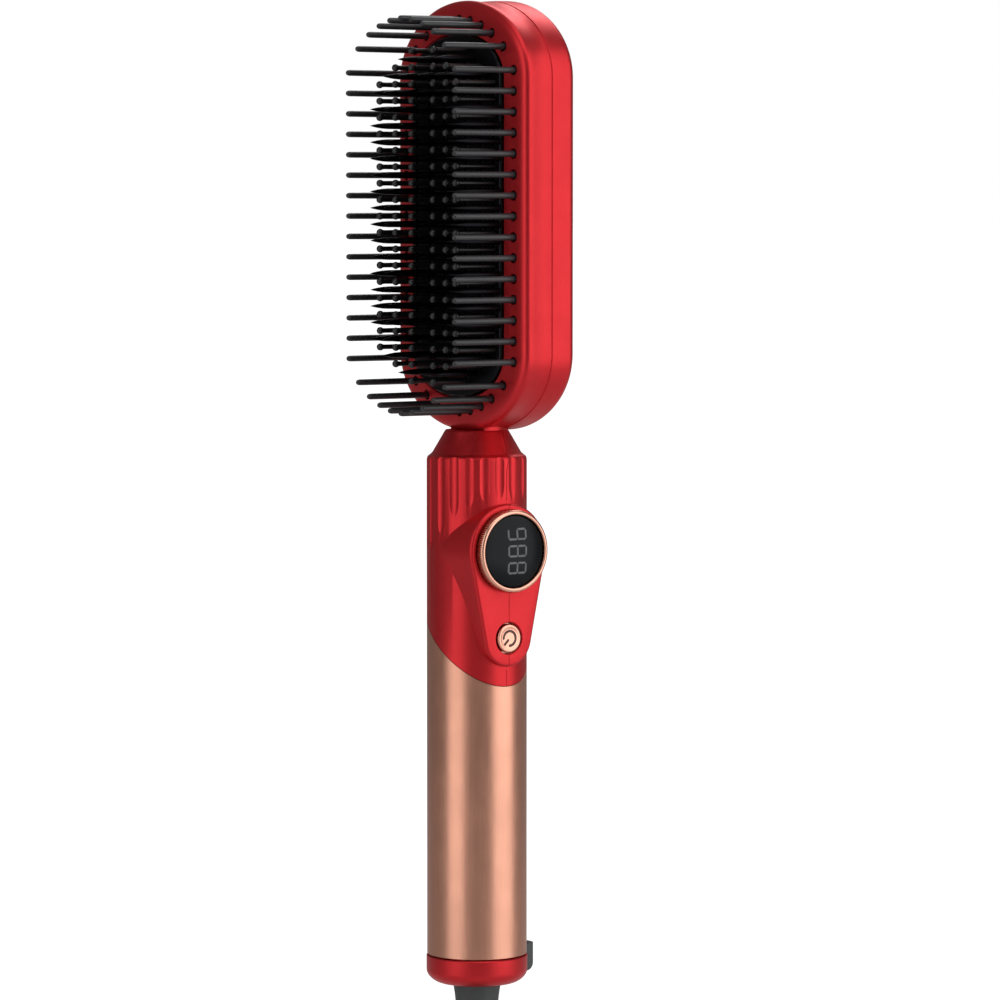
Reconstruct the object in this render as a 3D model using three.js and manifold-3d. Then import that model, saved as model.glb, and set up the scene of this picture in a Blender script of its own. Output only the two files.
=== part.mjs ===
// Heated hair-straightening brush: a slim round handle, a flat oval brush head, a swivelling mains cord.
// Millimetres. +Z runs up the handle to the head, the bristles face -Y and the controls face +X.
// The origin is on the handle's axis, at the middle of the grip.
import * as THREE from 'three';
import { mergeGeometries, mergeVertices } from 'three/addons/utils/BufferGeometryUtils.js';
import Module from 'manifold-3d';

const wasm = await Module();
wasm.setup();

// ---------------------------------------------------------------- driving dimensions
const GAP = 0.3; // clearance kept between neighbouring pieces
const ROUND = 28; // facets round the handle

const HEAD = {
  z: 178.4, // centre of the head above the middle of the grip
  halfWidth: 31.9,
  straight: 39.9, // half length of the straight sides
  rise: 22.9, // height of each half-elliptical end
  crown: -6.9, // the bristle side is highest at its window and falls away to the rim
  back: 12.2,
  wall: 1.6,
  inside: -3.6, // inner face of the bristle side
  parting: 3.6, // plane where the two housings meet in the head
};
const WINDOW = { halfWidth: 22.3, rise: 13.3 }; // opening in the bristle side
const GUARD = { x: 26.6, rise: 17.3, pitch: 6, perSide: 15, holeRadius: 1.5, radius: 0.95, tip: -28 };
const GUARD_END_X = [0, 5.4, 10.8, 16.1, 21.7]; // outer bristles round each end of the head

const PLATE = { front: -7.6, flangeFront: -3.3, back: -2, halfWidth: 21.9, flange: 23.4 };
const COLUMN_X = [5.4, 12.6, 19]; // ball-tipped bristle columns each side of the middle
const COLUMN_ROWS = [10, 9, 8]; // rows above and below the middle row, by column
const COLUMN_TIP = [-20.6, -21.3, -22.4]; // the tips lie on a hollow curve, longest at the sides
const ROW_PITCH = 4.81;
const FIN_X = [0, 9.1, 15.8, 21]; // heated teeth stand between the bristle columns
const FIN_ROWS = [10, 10, 9, 8]; // rows above the middle, by column
const FIN_TIP = [-21.4, -21.8, -22.6, -23.4];
const LANE_X = 9.1; // lane between two bristle columns, where a heater lies
const BOSS_X = 15.8;
const BOSS_Z = 43.5;

const HANDLE = { radius: 14.75, bore: 11.4, tubeBore: 13.4, spigot: 13.1 };
const NECK = { radius: 9.6, bottom: 108.3, top: 115.6 };
const CUT = { low: 41.1, slope: 0.834 }; // slanted end of the grip tube, lowest at +X
const SEAM = -39.9; // grip tube meets end cap
const CAP = { radius: 14.95, bottom: -48, flat: 11.5, corner: -44.8 };
const FLUTES = 20;

const KNOB = { z: 80.9, radius: 12.3, inner: 10.75, base: 16.3, face: 19.2, teeth: 48 };
const BUTTON = { z: 55.2, radius: 4.15, hole: 4.65, face: 16.4, travel: 0.8 };
const PAD = { face: 16, upper: 13.7, lower: 8.4, wall: 1.6 };
const KNOB_HOLE = 11.75;

const BOOT_END = -86;
const CORD = { radius: 3, sides: 8 };
const HANK = { top: -146, run: 80, fold: 18, turns: 6, pitch: 6.3 };
const TIE = { width: 16, thickness: 1.4 };
const PLUG = { length: 34, width: 22, depth: 16, pinSpacing: 12.7, pinLength: 17.5 };

// ---------------------------------------------------------------- materials
function material(color, roughness, metalness) {
  return new THREE.MeshStandardMaterial({ color, roughness, metalness });
}
const RED = material('#c82d32', 0.45, 0.1);
const ROSE_GOLD = material('#c8967d', 0.3, 0.8);
const BLACK = material('#141414', 0.5, 0);
const DARK_GREY = material('#4b4e4e', 0.6, 0);
const HOT_METAL = material('#1c1c1e', 0.4, 0.6);
const CERAMIC = material('#e6e1d6', 0.7, 0);
const MICA = material('#b8a878', 0.6, 0);
const GLASS = material('#08080a', 0.08, 0);
const BOARD = material('#1e5a3a', 0.6, 0);
const BRASS = material('#b9924a', 0.3, 0.9);
const STEEL = material('#a8abae', 0.35, 0.9);
const WHITE = material('#e8e6e0', 0.6, 0);

// ---------------------------------------------------------------- solids
// A closed geometry as a solid whose faces point out.
function solid(geometry) {
  const bare = geometry.index ? geometry.toNonIndexed() : geometry.clone();
  for (const name of Object.keys(bare.attributes)) {
    if (name !== 'position') {
      bare.deleteAttribute(name);
    }
  }
  const welded = mergeVertices(bare, 1e-4);
  const points = welded.attributes.position;
  const source = welded.index.array;
  const kept = [];
  let volume = 0;
  const [a, b, c] = [new THREE.Vector3(), new THREE.Vector3(), new THREE.Vector3()];
  for (let i = 0; i < source.length; i += 3) {
    const corners = [source[i], source[i + 1], source[i + 2]];
    if (new Set(corners).size === 3) {
      kept.push(...corners);
      a.fromBufferAttribute(points, corners[0]);
      b.fromBufferAttribute(points, corners[1]);
      c.fromBufferAttribute(points, corners[2]);
      volume += a.dot(b.cross(c));
    }
  }
  if (volume < 0) {
    kept.reverse();
  }
  return new wasm.Manifold(
    new wasm.Mesh({
      numProp: 3,
      vertProperties: Float32Array.from(points.array),
      triVerts: Uint32Array.from(kept),
    }),
  );
}

function geometryOf(body) {
  const mesh = body.getMesh();
  const geometry = new THREE.BufferGeometry();
  geometry.setAttribute('position', new THREE.BufferAttribute(Float32Array.from(mesh.vertProperties), 3));
  geometry.setIndex(new THREE.BufferAttribute(Uint32Array.from(mesh.triVerts), 1));
  geometry.computeVertexNormals();
  return geometry;
}

const X = new THREE.Vector3(1, 0, 0);
const Y = new THREE.Vector3(0, 1, 0);
const Z = new THREE.Vector3(0, 0, 1);
// A shape drawn in (y, z) is extruded along x, one drawn in (z, x) is extruded along y.
const SHAPE_TURN = {
  x: new THREE.Matrix4().makeBasis(Y, Z, X),
  y: new THREE.Matrix4().makeBasis(Z, X, Y),
  z: new THREE.Matrix4(),
};
// A lathe turns its profile of (radius, height) points about the named axis.
const LATHE_TURN = {
  x: new THREE.Matrix4().makeBasis(Y, X, Z.clone().negate()),
  y: new THREE.Matrix4(),
  z: new THREE.Matrix4().makeBasis(X, Z, Y.clone().negate()),
};

function slab(shape, axis, from, to, curveSegments = 8) {
  const geometry = new THREE.ExtrudeGeometry(shape, {
    depth: to - from,
    bevelEnabled: false,
    curveSegments,
  });
  geometry.translate(0, 0, from);
  geometry.applyMatrix4(SHAPE_TURN[axis]);
  return solid(geometry);
}

function turned(profile, axis, centre = [0, 0, 0], segments = 20) {
  const points = profile.map(([radius, height]) => new THREE.Vector2(radius, height));
  const geometry = new THREE.LatheGeometry(points, segments);
  geometry.applyMatrix4(LATHE_TURN[axis]);
  geometry.translate(...centre);
  return solid(geometry);
}

function rod(radius, axis, from, to, centre = [0, 0, 0], segments = 16) {
  return turned([[0, from], [radius, from], [radius, to], [0, to]], axis, centre, segments);
}

function ring(inner, outer, axis, from, to, centre = [0, 0, 0], segments = 20) {
  const profile = [[inner, from], [outer, from], [outer, to], [inner, to], [inner, from]];
  return turned(profile, axis, centre, segments);
}

function box(low, high) {
  const size = high.map((value, i) => value - low[i]);
  const geometry = new THREE.BoxGeometry(...size);
  geometry.translate(...low.map((value, i) => value + size[i] / 2));
  return solid(geometry);
}

function tubeAlong(points, radius, sides, steps) {
  const section = new THREE.Shape();
  section.absarc(0, 0, radius, 0, 2 * Math.PI);
  const path = new THREE.CatmullRomCurve3(points.map((p) => new THREE.Vector3(...p)));
  const options = { steps, extrudePath: path, curveSegments: sides / 2, bevelEnabled: false };
  return new THREE.ExtrudeGeometry(section, options);
}

// An oval with straight sides along its length: drawn as (length, width).
function oval(halfWidth, rise, straight = HEAD.straight, length = 0) {
  const shape = new THREE.Shape();
  shape.moveTo(length - straight, halfWidth);
  shape.absellipse(length - straight, 0, rise, halfWidth, Math.PI / 2, 1.5 * Math.PI);
  shape.lineTo(length + straight, -halfWidth);
  shape.absellipse(length + straight, 0, rise, halfWidth, -Math.PI / 2, Math.PI / 2);
  shape.closePath();
  return shape;
}

function headSlab(halfWidth, rise, from, to, segments = 8) {
  return slab(oval(halfWidth, rise, HEAD.straight, HEAD.z), 'y', from, to, segments);
}

// A solid skinned through rings of equal point counts, with flat convex ends.
function loft(rings) {
  const count = rings[0].length;
  const positions = rings.flat(2);
  const index = [];
  for (let r = 0; r < rings.length - 1; r += 1) {
    for (let i = 0; i < count; i += 1) {
      const here = r * count + i;
      const next = r * count + ((i + 1) % count);
      index.push(here, next, next + count);
      index.push(here, next + count, here + count);
    }
  }
  const last = (rings.length - 1) * count;
  for (let i = 1; i < count - 1; i += 1) {
    index.push(0, i + 1, i);
    index.push(last, last + i, last + i + 1);
  }
  const geometry = new THREE.BufferGeometry();
  geometry.setAttribute('position', new THREE.Float32BufferAttribute(positions, 3));
  geometry.setIndex(index);
  return solid(geometry);
}

const model = new THREE.Group();

function piece(name, body, finish) {
  const geometry = body instanceof THREE.BufferGeometry ? body : geometryOf(body);
  const mesh = new THREE.Mesh(geometry, finish);
  mesh.name = name;
  model.add(mesh);
}

// ---------------------------------------------------------------- outer skin of the two housings
function headRing(y, inset, segments = 16) {
  const points = oval(HEAD.halfWidth - inset, HEAD.rise - inset).getPoints(segments / 2);
  return points.slice(0, -1).map((p) => [p.y, y, HEAD.z + p.x]);
}

function headSkin() {
  const stations = [
    [HEAD.crown, 9.6],
    [HEAD.crown + 0.5, 5.3],
    [HEAD.crown + 0.9, 1.9],
    [HEAD.crown + 1.5, 0.5],
    [HEAD.crown + 2.7, 0],
    [0.4, 0.35],
    [HEAD.parting, 0],
    [HEAD.back - 1.8, -0.2],
    [HEAD.back - 0.6, 0.2],
    [HEAD.back, 1.2],
  ];
  return loft(stations.map(([y, inset]) => headRing(y, inset)));
}

function halfPlaneAboveCut(drop) {
  const reach = 30;
  const level = CUT.low - drop;
  const shape = new THREE.Shape();
  shape.moveTo(level + CUT.slope * (HANDLE.radius + reach), -reach);
  shape.lineTo(level + CUT.slope * (HANDLE.radius - reach), reach);
  shape.lineTo(200, reach);
  shape.lineTo(200, -reach);
  shape.closePath();
  return slab(shape, 'y', -reach, reach);
}

function upperHandleSkin() {
  const profile = [
    [0, 20],
    [HANDLE.radius, 20],
    [HANDLE.radius, NECK.bottom - 0.5],
    [HANDLE.radius - 0.4, NECK.bottom],
    [NECK.radius, NECK.top - 0.4],
    [NECK.radius, NECK.top + 1.2],
    [0, NECK.top + 1.2],
  ];
  const skin = turned(profile, 'z', [0, 0, 0], ROUND).intersect(halfPlaneAboveCut(0));
  return skin.add(rod(HANDLE.spigot, 'z', 28, 66, [0, 0, 0], ROUND));
}

// The teardrop boss that carries the dial and the button, drawn as (y, z).
function teardrop(upper, lower) {
  const tilt = -Math.asin((upper - lower) / (KNOB.z - BUTTON.z));
  const shape = new THREE.Shape();
  shape.absarc(0, KNOB.z, upper, tilt, Math.PI - tilt);
  shape.absarc(0, BUTTON.z, lower, Math.PI - tilt, 2 * Math.PI + tilt);
  shape.closePath();
  return shape;
}

// Each flute stops at an oval clear zone round the dial.
function fluteEnd(angle) {
  const along = HANDLE.radius * angle / 25;
  return Math.max(84, KNOB.z + 18 * Math.sqrt(Math.max(0, 1 - along * along)));
}

function fluteCutters() {
  const cutters = [];
  for (let i = 0; i < FLUTES; i += 1) {
    const angle = ((i + 0.5) / FLUTES) * 2 * Math.PI - Math.PI;
    const reach = HANDLE.radius + 2.4;
    const from = fluteEnd(Math.abs(angle));
    const flute = new THREE.CylinderGeometry(2.9, 2.9, NECK.bottom - from, 8);
    flute.rotateX(Math.PI / 2);
    flute.translate(reach * Math.cos(angle), reach * Math.sin(angle), (from + NECK.bottom) / 2 + 0.01);
    flute.deleteAttribute('normal');
    flute.deleteAttribute('uv');
    cutters.push(flute);
  }
  return solid(mergeGeometries(cutters));
}

// ---------------------------------------------------------------- bristle positions, as [x, z from the head's centre]
function guardSpots() {
  const spots = [];
  const half = (GUARD.perSide - 1) / 2;
  for (let i = -half; i <= half; i += 1) {
    spots.push([GUARD.x, i * GUARD.pitch], [-GUARD.x, i * GUARD.pitch]);
  }
  for (const x of GUARD_END_X) {
    const lift = GUARD.rise * (1 - (x / GUARD.x) ** 1.8) ** (1 / 1.8);
    const sides = x === 0 ? [0] : [x, -x];
    for (const side of sides) {
      spots.push([side, HEAD.straight + lift], [side, -HEAD.straight - lift]);
    }
  }
  return spots;
}

// One column each side of the middle, its rows counted from firstRow in steps of one.
function columnSpots(x, firstRow, rows) {
  const spots = [];
  const sides = x === 0 ? [0] : [x, -x];
  for (let row = firstRow; row <= rows; row += 1) {
    for (const side of sides) {
      spots.push([side, row * ROW_PITCH]);
      if (row > 0) {
        spots.push([side, -row * ROW_PITCH]);
      }
    }
  }
  return spots;
}

// Many copies of a tapered pin standing along -Y, from root to tip, as one solid to be joined or cut.
function pins(spots, rootRadius, tipRadius, root, tip, sides) {
  const copies = spots.map(([x, z]) => {
    const pin = new THREE.CylinderGeometry(tipRadius, rootRadius, root - tip, sides);
    pin.rotateX(Math.PI);
    pin.translate(x, (root + tip) / 2, HEAD.z + z);
    pin.deleteAttribute('normal');
    pin.deleteAttribute('uv');
    return pin;
  });
  return solid(mergeGeometries(copies));
}

// ---------------------------------------------------------------- the two housings
function housingShell() {
  const skin = headSkin()
    .add(upperHandleSkin())
    .add(slab(teardrop(PAD.upper, PAD.lower), 'x', 2, PAD.face, 10));
  const bore = turned(
    [
      [0, 27],
      [HANDLE.bore, 27],
      [HANDLE.bore, 66],
      [12.6, 69],
      [12.6, 102],
      [7.2, 108],
      [7.2, 113],
      [0, 113],
    ],
    'z',
    [0, 0, 0],
    24,
  );
  const cavity = headSlab(
    HEAD.halfWidth - HEAD.wall - 0.3,
    HEAD.rise - HEAD.wall - 0.3,
    HEAD.inside,
    HEAD.back - HEAD.wall,
  );
  const wireWay = box([-6, -2.2, 112], [6, 6, 122]);
  const padHollow = slab(teardrop(12.6, 6.6), 'x', 1, PAD.face - PAD.wall, 8);
  const holes = pins(guardSpots(), GUARD.holeRadius, GUARD.holeRadius, -3, -9, 5);
  return skin
    .subtract(bore)
    .subtract(cavity)
    .subtract(wireWay)
    .subtract(padHollow)
    .subtract(holes)
    .subtract(headSlab(WINDOW.halfWidth, WINDOW.rise, -9, -3))
    .subtract(fluteCutters())
    .subtract(rod(KNOB_HOLE, 'x', 10, 20, [0, 0, KNOB.z], 24))
    .subtract(rod(BUTTON.hole, 'x', 10, 20, [0, 0, BUTTON.z], 16))
    .add(housingBosses());
}

// Two screw pillars join the housings inside the end that the grip tube hides.
const PILLAR = { x: 6.4, z: 34, radius: 2.6, bore: 1.2 };

function housingBosses() {
  let bosses = null;
  for (const x of [PILLAR.x, -PILLAR.x]) {
    const pillar = rod(PILLAR.radius, 'y', -10.2, 9.8, [x, 0, PILLAR.z], 12);
    const bored = pillar.subtract(rod(PILLAR.bore, 'y', -7, 12, [x, 0, PILLAR.z], 10));
    bosses = bosses ? bosses.add(bored) : bored;
  }
  return bosses.intersect(rod(HANDLE.spigot - 0.1, 'z', 20, 50, [0, 0, 0], 32));
}

function rearSide() {
  const shape = new THREE.Shape();
  shape.moveTo(0, 20);
  shape.lineTo(40, 20);
  shape.lineTo(40, 260);
  shape.lineTo(HEAD.parting, 260);
  shape.lineTo(HEAD.parting, 119);
  shape.lineTo(0, 104);
  shape.closePath();
  return slab(shape, 'x', -40, 40);
}

function supportPosts() {
  let posts = null;
  for (const x of [21, -21]) {
    for (const z of [30, -30]) {
      const post = rod(1.8, 'y', 3, HEAD.back - 0.8, [x, 0, HEAD.z + z], 10);
      posts = posts ? posts.add(post) : post;
    }
  }
  return posts;
}

const shell = housingShell();
const rearRegion = rearSide();
const screwHoles = [PILLAR.x, -PILLAR.x]
  .map((x) => rod(2.3, 'y', 7.6, 14, [x, 0, PILLAR.z], 12))
  .reduce((all, hole) => all.add(hole));
piece('front_housing', shell.subtract(rearRegion.translate([0, -GAP, 0])), RED);
piece('rear_housing', shell.intersect(rearRegion).add(supportPosts()).subtract(screwHoles), RED);

function housingScrew(x) {
  const profile = [[0, -6], [0.9, -6], [0.9, 7.9], [2, 7.9], [2, 9.4], [0, 9.4]];
  return turned(profile, 'y', [x, 0, PILLAR.z], 12);
}
piece('housing_screw_left', housingScrew(-PILLAR.x), STEEL);
piece('housing_screw_right', housingScrew(PILLAR.x), STEEL);

// ---------------------------------------------------------------- brush head
function guardBristleFrame() {
  const outer = headSlab(29.2, 20.2, -3.3, -1.8);
  const frame = outer.subtract(headSlab(24, 15, -6, -1));
  return frame.add(pins(guardSpots(), GUARD.radius, GUARD.radius - 0.1, -2.6, GUARD.tip, 5));
}

function columnSlots(halfWidth, extra, from, to) {
  let slots = null;
  COLUMN_X.forEach((x, column) => {
    const reach = COLUMN_ROWS[column] * ROW_PITCH + extra;
    for (const side of [x, -x]) {
      const low = [side - halfWidth, from, HEAD.z - reach];
      const slot = box(low, [side + halfWidth, to, HEAD.z + reach]);
      slots = slots ? slots.add(slot) : slot;
    }
  });
  return slots;
}

function cornerRods(radius, from, to, sides) {
  let rods = null;
  for (const x of [BOSS_X, -BOSS_X]) {
    for (const z of [BOSS_Z, -BOSS_Z]) {
      const one = rod(radius, 'y', from, to, [x, 0, HEAD.z + z], sides);
      rods = rods ? rods.add(one) : one;
    }
  }
  return rods;
}

function heatingPlate() {
  let plate = headSlab(PLATE.halfWidth, WINDOW.rise - 0.4, PLATE.front, -2.8)
    .add(headSlab(PLATE.flange, 14.4, PLATE.flangeFront, PLATE.back))
    .subtract(columnSlots(0.95, 1.4, -9, -1))
    .add(cornerRods(2, -2.8, 0.8, 10))
    .subtract(cornerRods(1, -1.8, 2.2, 8));
  FIN_X.forEach((x, column) => {
    const spots = columnSpots(x, 0.5, FIN_ROWS[column]);
    plate = plate.add(pins(spots, 0.9, 0, PLATE.front + 0.2, FIN_TIP[column], 4));
  });
  return plate;
}

function bristleInsert() {
  let insert = headSlab(23, 14, 1.2, 2.6)
    .subtract(box([-1.9, 0, HEAD.z - 46], [1.9, 4, HEAD.z + 30]))
    .add(columnSlots(0.65, 1.1, -7.2, 1.9))
    .subtract(cornerRods(1.3, 0, 4, 8));
  COLUMN_X.forEach((x, column) => {
    const spots = columnSpots(x, 0, COLUMN_ROWS[column]);
    insert = insert.add(pins(spots, 0.75, 0.65, -7, COLUMN_TIP[column], 4));
  });
  return insert;
}

piece('guard_bristle_frame', guardBristleFrame(), BLACK);
piece('heating_plate', heatingPlate(), HOT_METAL);
piece('bristle_insert', bristleInsert(), BLACK);

for (const [side, x] of [['left', -LANE_X], ['right', LANE_X]]) {
  const laneBox = (from, to) => box([x - 2.3, from, HEAD.z - 40], [x + 2.3, to, HEAD.z + 40]);
  piece(`heater_${side}`, laneBox(-1.7, -0.3), CERAMIC);
  piece(`mica_strip_${side}`, laneBox(0, 0.5), MICA);
}
piece('thermistor', rod(0.9, 'z', -22, -17, [0, -0.8, HEAD.z], 10), CERAMIC);
piece('thermal_fuse', rod(1, 'z', 8, 18, [0, -0.7, HEAD.z], 12), STEEL);

const SCREW_SPOTS = [[BOSS_X, BOSS_Z], [-BOSS_X, BOSS_Z], [BOSS_X, -BOSS_Z], [-BOSS_X, -BOSS_Z]];
SCREW_SPOTS.forEach(([x, z], i) => {
  const profile = [[0, -1.4], [0.7, -1.4], [0.7, 2.9], [1.9, 2.9], [1.9, 4.2], [0, 4.2]];
  piece(`plate_screw_${i + 1}`, turned(profile, 'y', [x, 0, HEAD.z + z], 10), STEEL);
});

// ---------------------------------------------------------------- dial, display and button
const DIAL = [0, 0, KNOB.z];

function knobRing() {
  const outline = [];
  for (let i = 0; i < KNOB.teeth * 2; i += 1) {
    const radius = KNOB.radius - (i % 2) * 0.35;
    const angle = (i / (KNOB.teeth * 2)) * 2 * Math.PI;
    outline.push(new THREE.Vector2(radius * Math.cos(angle), KNOB.z + radius * Math.sin(angle)));
  }
  const shoulder = turned([[0, 10], [14, 10], [14, 17.9], [11.4, 19.3], [0, 19.3]], 'x', DIAL, 24);
  return slab(new THREE.Shape(outline), 'x', KNOB.base, KNOB.face)
    .intersect(shoulder)
    .add(rod(11.45, 'x', 10.9, KNOB.base + 0.5, DIAL, 32))
    .add(rod(12.2, 'x', 13, 14, DIAL, 32))
    .subtract(rod(KNOB.inner, 'x', 9, 20, DIAL, 32));
}

piece('knob_ring', knobRing(), ROSE_GOLD);
const rotor = ring(8.5, 10.4, 'x', 11, 12.6, DIAL, 24);
piece('encoder_rotor', rotor, BLACK);
piece('encoder_body', ring(8.6, 11, 'x', 7.9, 10.5, DIAL, 24), BLACK);

const holderProfile = [
  [0, 7.9],
  [8.1, 7.9],
  [8.1, 16.4],
  [10.2, 16.4],
  [10.2, 17.6],
  [0, 17.6],
];
const displayPocket = box([12.7, -7.4, KNOB.z - 3.6], [20, 5.6, KNOB.z + 3.6]);
piece('display_holder', turned(holderProfile, 'x', DIAL, 24).subtract(displayPocket), BLACK);
piece('display_module', box([13, -7.1, KNOB.z - 3.3], [17.4, 5.3, KNOB.z + 3.3]), BLACK);
const lensProfile = [
  [0, 17.9],
  [10.4, 17.9],
  [10.4, 18.5],
  [8.6, 18.95],
  [6, 19.35],
  [3, 19.55],
  [0, 19.6],
];
piece('display_lens', turned(lensProfile, 'x', DIAL, 24), GLASS);

const PUSH = [0, 0, BUTTON.z];
const buttonProfile = [
  [0, 11],
  [3.2, 11],
  [3.2, 12.4],
  [5.4, 12.4],
  [5.4, 13.7],
  [BUTTON.radius, 13.7],
  [BUTTON.radius, BUTTON.face - 0.3],
  [BUTTON.radius - 0.4, BUTTON.face],
  [0, BUTTON.face],
];
piece('power_button', turned(buttonProfile, 'x', PUSH, 16), ROSE_GOLD);
const switchBase = box([7.9, -3, BUTTON.z - 3], [9.4, 3, BUTTON.z + 3]);
piece('tact_switch', switchBase.add(rod(1.6, 'x', 9, 10, PUSH, 10)), BLACK);
piece('control_board', box([6, -8, 47], [7.6, 8, 96]), BOARD);

// ---------------------------------------------------------------- grip tube and what it holds
function gripTube() {
  const tube = ring(HANDLE.tubeBore, HANDLE.radius, 'z', SEAM + GAP, 70, [0, 0, 0], ROUND);
  return tube.subtract(halfPlaneAboveCut(GAP));
}

function insulatingSleeve() {
  let sleeve = ring(11.9, 12.7, 'z', -29.5, 27.4, [0, 0, 0], 24);
  for (const side of [1, -1]) {
    for (const x of [-2, 0.9]) {
      const low = Math.min(side * 10.9, side * 12.2);
      const rail = box([x, low, -14], [x + 0.7, low + 1.3, 27]);
      sleeve = sleeve.add(rail);
    }
  }
  return sleeve;
}

piece('handle_tube', gripTube(), ROSE_GOLD);
piece('insulating_sleeve', insulatingSleeve(), WHITE);
piece('power_board', box([-1, -10.7, -12], [0.6, 10.7, 39]), BOARD);
piece('filter_capacitor', box([0.9, -5, -2], [8, 5, 12]), MICA);
piece('triac', box([0.9, -4.5, 17], [4.5, 4.5, 26]), BLACK);
piece('choke_coil', rod(4.5, 'x', -7.5, -1.3, [0, 0, 8], 16), BRASS);

// ---------------------------------------------------------------- end cap, hook and swivel
function endCap() {
  const middle = (CAP.corner + CAP.bottom) / 2;
  const profile = [
    [7.5, CAP.bottom],
    [CAP.flat, CAP.bottom],
    [CAP.flat + 2, middle - 0.8],
    [CAP.radius - 0.4, middle + 0.6],
    [CAP.radius, CAP.corner],
    [CAP.radius, SEAM],
    [HANDLE.spigot, SEAM],
    [HANDLE.spigot, -30],
    [11.6, -30],
    [11.6, -39.6],
    [13.1, -40.4],
    [13.1, -45.2],
    [12.1, -46.2],
    [7.5, -46.2],
    [7.5, CAP.bottom],
  ];
  const slot = box([-3.3, 9, -46.6], [3.3, 20, -42.5]);
  return turned(profile, 'z', [0, 0, 0], ROUND).subtract(slot);
}

// A short upright hook with its foot behind the cap wall, drawn as (y, z).
function hangingHook() {
  const shape = new THREE.Shape();
  shape.moveTo(11.3, -46);
  shape.lineTo(16.3, -46.3);
  shape.quadraticCurveTo(18.7, -45.9, 18.7, -43.3);
  shape.lineTo(18.7, -37.5);
  shape.lineTo(15.8, -38.7);
  shape.lineTo(15.5, -42.8);
  shape.lineTo(12.4, -42.8);
  shape.lineTo(12.4, -41.6);
  shape.lineTo(11.3, -41.6);
  shape.closePath();
  return slab(shape, 'x', -3, 3, 4);
}

const socketProfile = [
  [6.6, -42.7],
  [10.9, -42.7],
  [10.9, -26],
  [6.6, -26],
  [6.6, -42.7],
];
piece('end_cap', endCap(), RED);
piece('hanging_hook', hangingHook(), DARK_GREY);
piece('swivel_socket', turned(socketProfile, 'z'), WHITE);

function contactSpring(side, bottom) {
  const outline = new THREE.Shape();
  outline.moveTo(side * 5.5, bottom);
  outline.lineTo(side * 6.1, bottom);
  outline.lineTo(side * 6.1, -25.6);
  outline.lineTo(side * 9.5, -25.6);
  outline.lineTo(side * 9.5, -25);
  outline.lineTo(side * 5.5, -25);
  outline.closePath();
  const geometry = new THREE.ExtrudeGeometry(outline, { depth: 2.4, bevelEnabled: false });
  geometry.translate(0, 0, -1.2);
  geometry.rotateX(Math.PI / 2);
  return solid(geometry);
}
piece('contact_spring_live', contactSpring(1, -38.5), BRASS);
piece('contact_spring_neutral', contactSpring(-1, -32), BRASS);

// ---------------------------------------------------------------- wires inside the handle
const WIRE = 0.6;
function wire(name, points, steps = 12, radius = WIRE) {
  piece(name, tubeAlong(points, radius, 6, steps), name.includes('neutral') ? BLACK : RED);
}

function heaterRoute(side) {
  return [
    [-0.2, side * 6, 39.6],
    [-2, side * 6, 50],
    [-2, side * 5, 90],
    [side * 1.5 - 1, side * 3.5, 104],
    [side * 3.2, 0.5, 116],
    [side * LANE_X, 0.4, 125.5],
    [side * LANE_X, -0.7, 131.5],
    [side * LANE_X, -0.9, HEAD.z - 40.4],
  ];
}
wire('heater_wire_live', heaterRoute(1));
wire('heater_wire_neutral', heaterRoute(-1));
wire('mains_wire_live', [[8, 0, -24.3], [6, 3, -19], [0, 5, -16], [-0.2, 5, -12.4]], 10);
wire('mains_wire_neutral', [[-8, 0, -24.3], [-6, -3, -19], [-1, -5, -16], [-0.2, -5, -12.4]], 10);
const sensorRoute = [
  [7, -3, 96.6],
  [4, -2.5, 102],
  [1, -1, 110],
  [0, 2.8, 120],
  [0, 4, 140],
  [0, 2.2, HEAD.z - 29],
  [0, -0.8, HEAD.z - 22.6],
];
wire('sensor_wire', sensorRoute, 14, 0.5);

// A flat ribbon between the two boards, drawn as (z, x).
function ribbonCable() {
  const outline = [
    [39.4, 0.5],
    [41.6, 1.15],
    [43.3, 3.3],
    [44.3, 5.8],
    [46.6, 7.1],
    [46.6, 6.5],
    [44.8, 5.35],
    [43.9, 3.05],
    [42, 0.65],
    [39.4, -0.1],
  ];
  const shape = new THREE.Shape(outline.map(([z, x]) => new THREE.Vector2(z, x)));
  return slab(shape, 'y', -3.5, 3.5);
}
piece('ribbon_cable', ribbonCable(), WHITE);

// ---------------------------------------------------------------- swivelling cord
const bootProfile = [
  [0, -24],
  [3.2, -24],
  [3.2, -43.2],
  [9.2, -43.2],
  [9.2, -45.8],
  [7.1, -45.8],
  [7.1, -48.4],
  [6.3, -53],
  [5.6, -62],
  [4.9, -72],
  [4.3, -80],
  [4, BOOT_END],
  [0, BOOT_END],
];
piece('strain_relief_boot', turned(bootProfile, 'z', [0, 0, 0], 16), DARK_GREY);
piece('slip_ring_live', ring(3.5, 5.2, 'z', -40, -37), BRASS);
piece('slip_ring_neutral', ring(3.5, 5.2, 'z', -33, -30), BRASS);

// The lead drops straight out of the boot, then bends across to the first run of the hank.
const HANK_DEPTH = HANK.turns * HANK.pitch;
const HANK_HALF = HANK.fold + CORD.radius;
const TOP_CENTRE = HANK.top - HANK_HALF;
const BOTTOM_CENTRE = TOP_CENTRE - HANK.run;
const LEAD = [
  [0, 0, BOOT_END - GAP],
  [0, 0, -93],
  [0, 0, -100],
  [1.1, -1.2, -109.2],
  [4.3, -4.5, -117.2],
  [9, -9.4, -123],
  [13.7, -14.4, -128.8],
  [16.9, -17.7, -136.8],
  [18, -18.9, -146],
  [18, -18.9, -152],
];
piece('cord_lead', tubeAlong(LEAD, CORD.radius, CORD.sides, 20), DARK_GREY);

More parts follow.
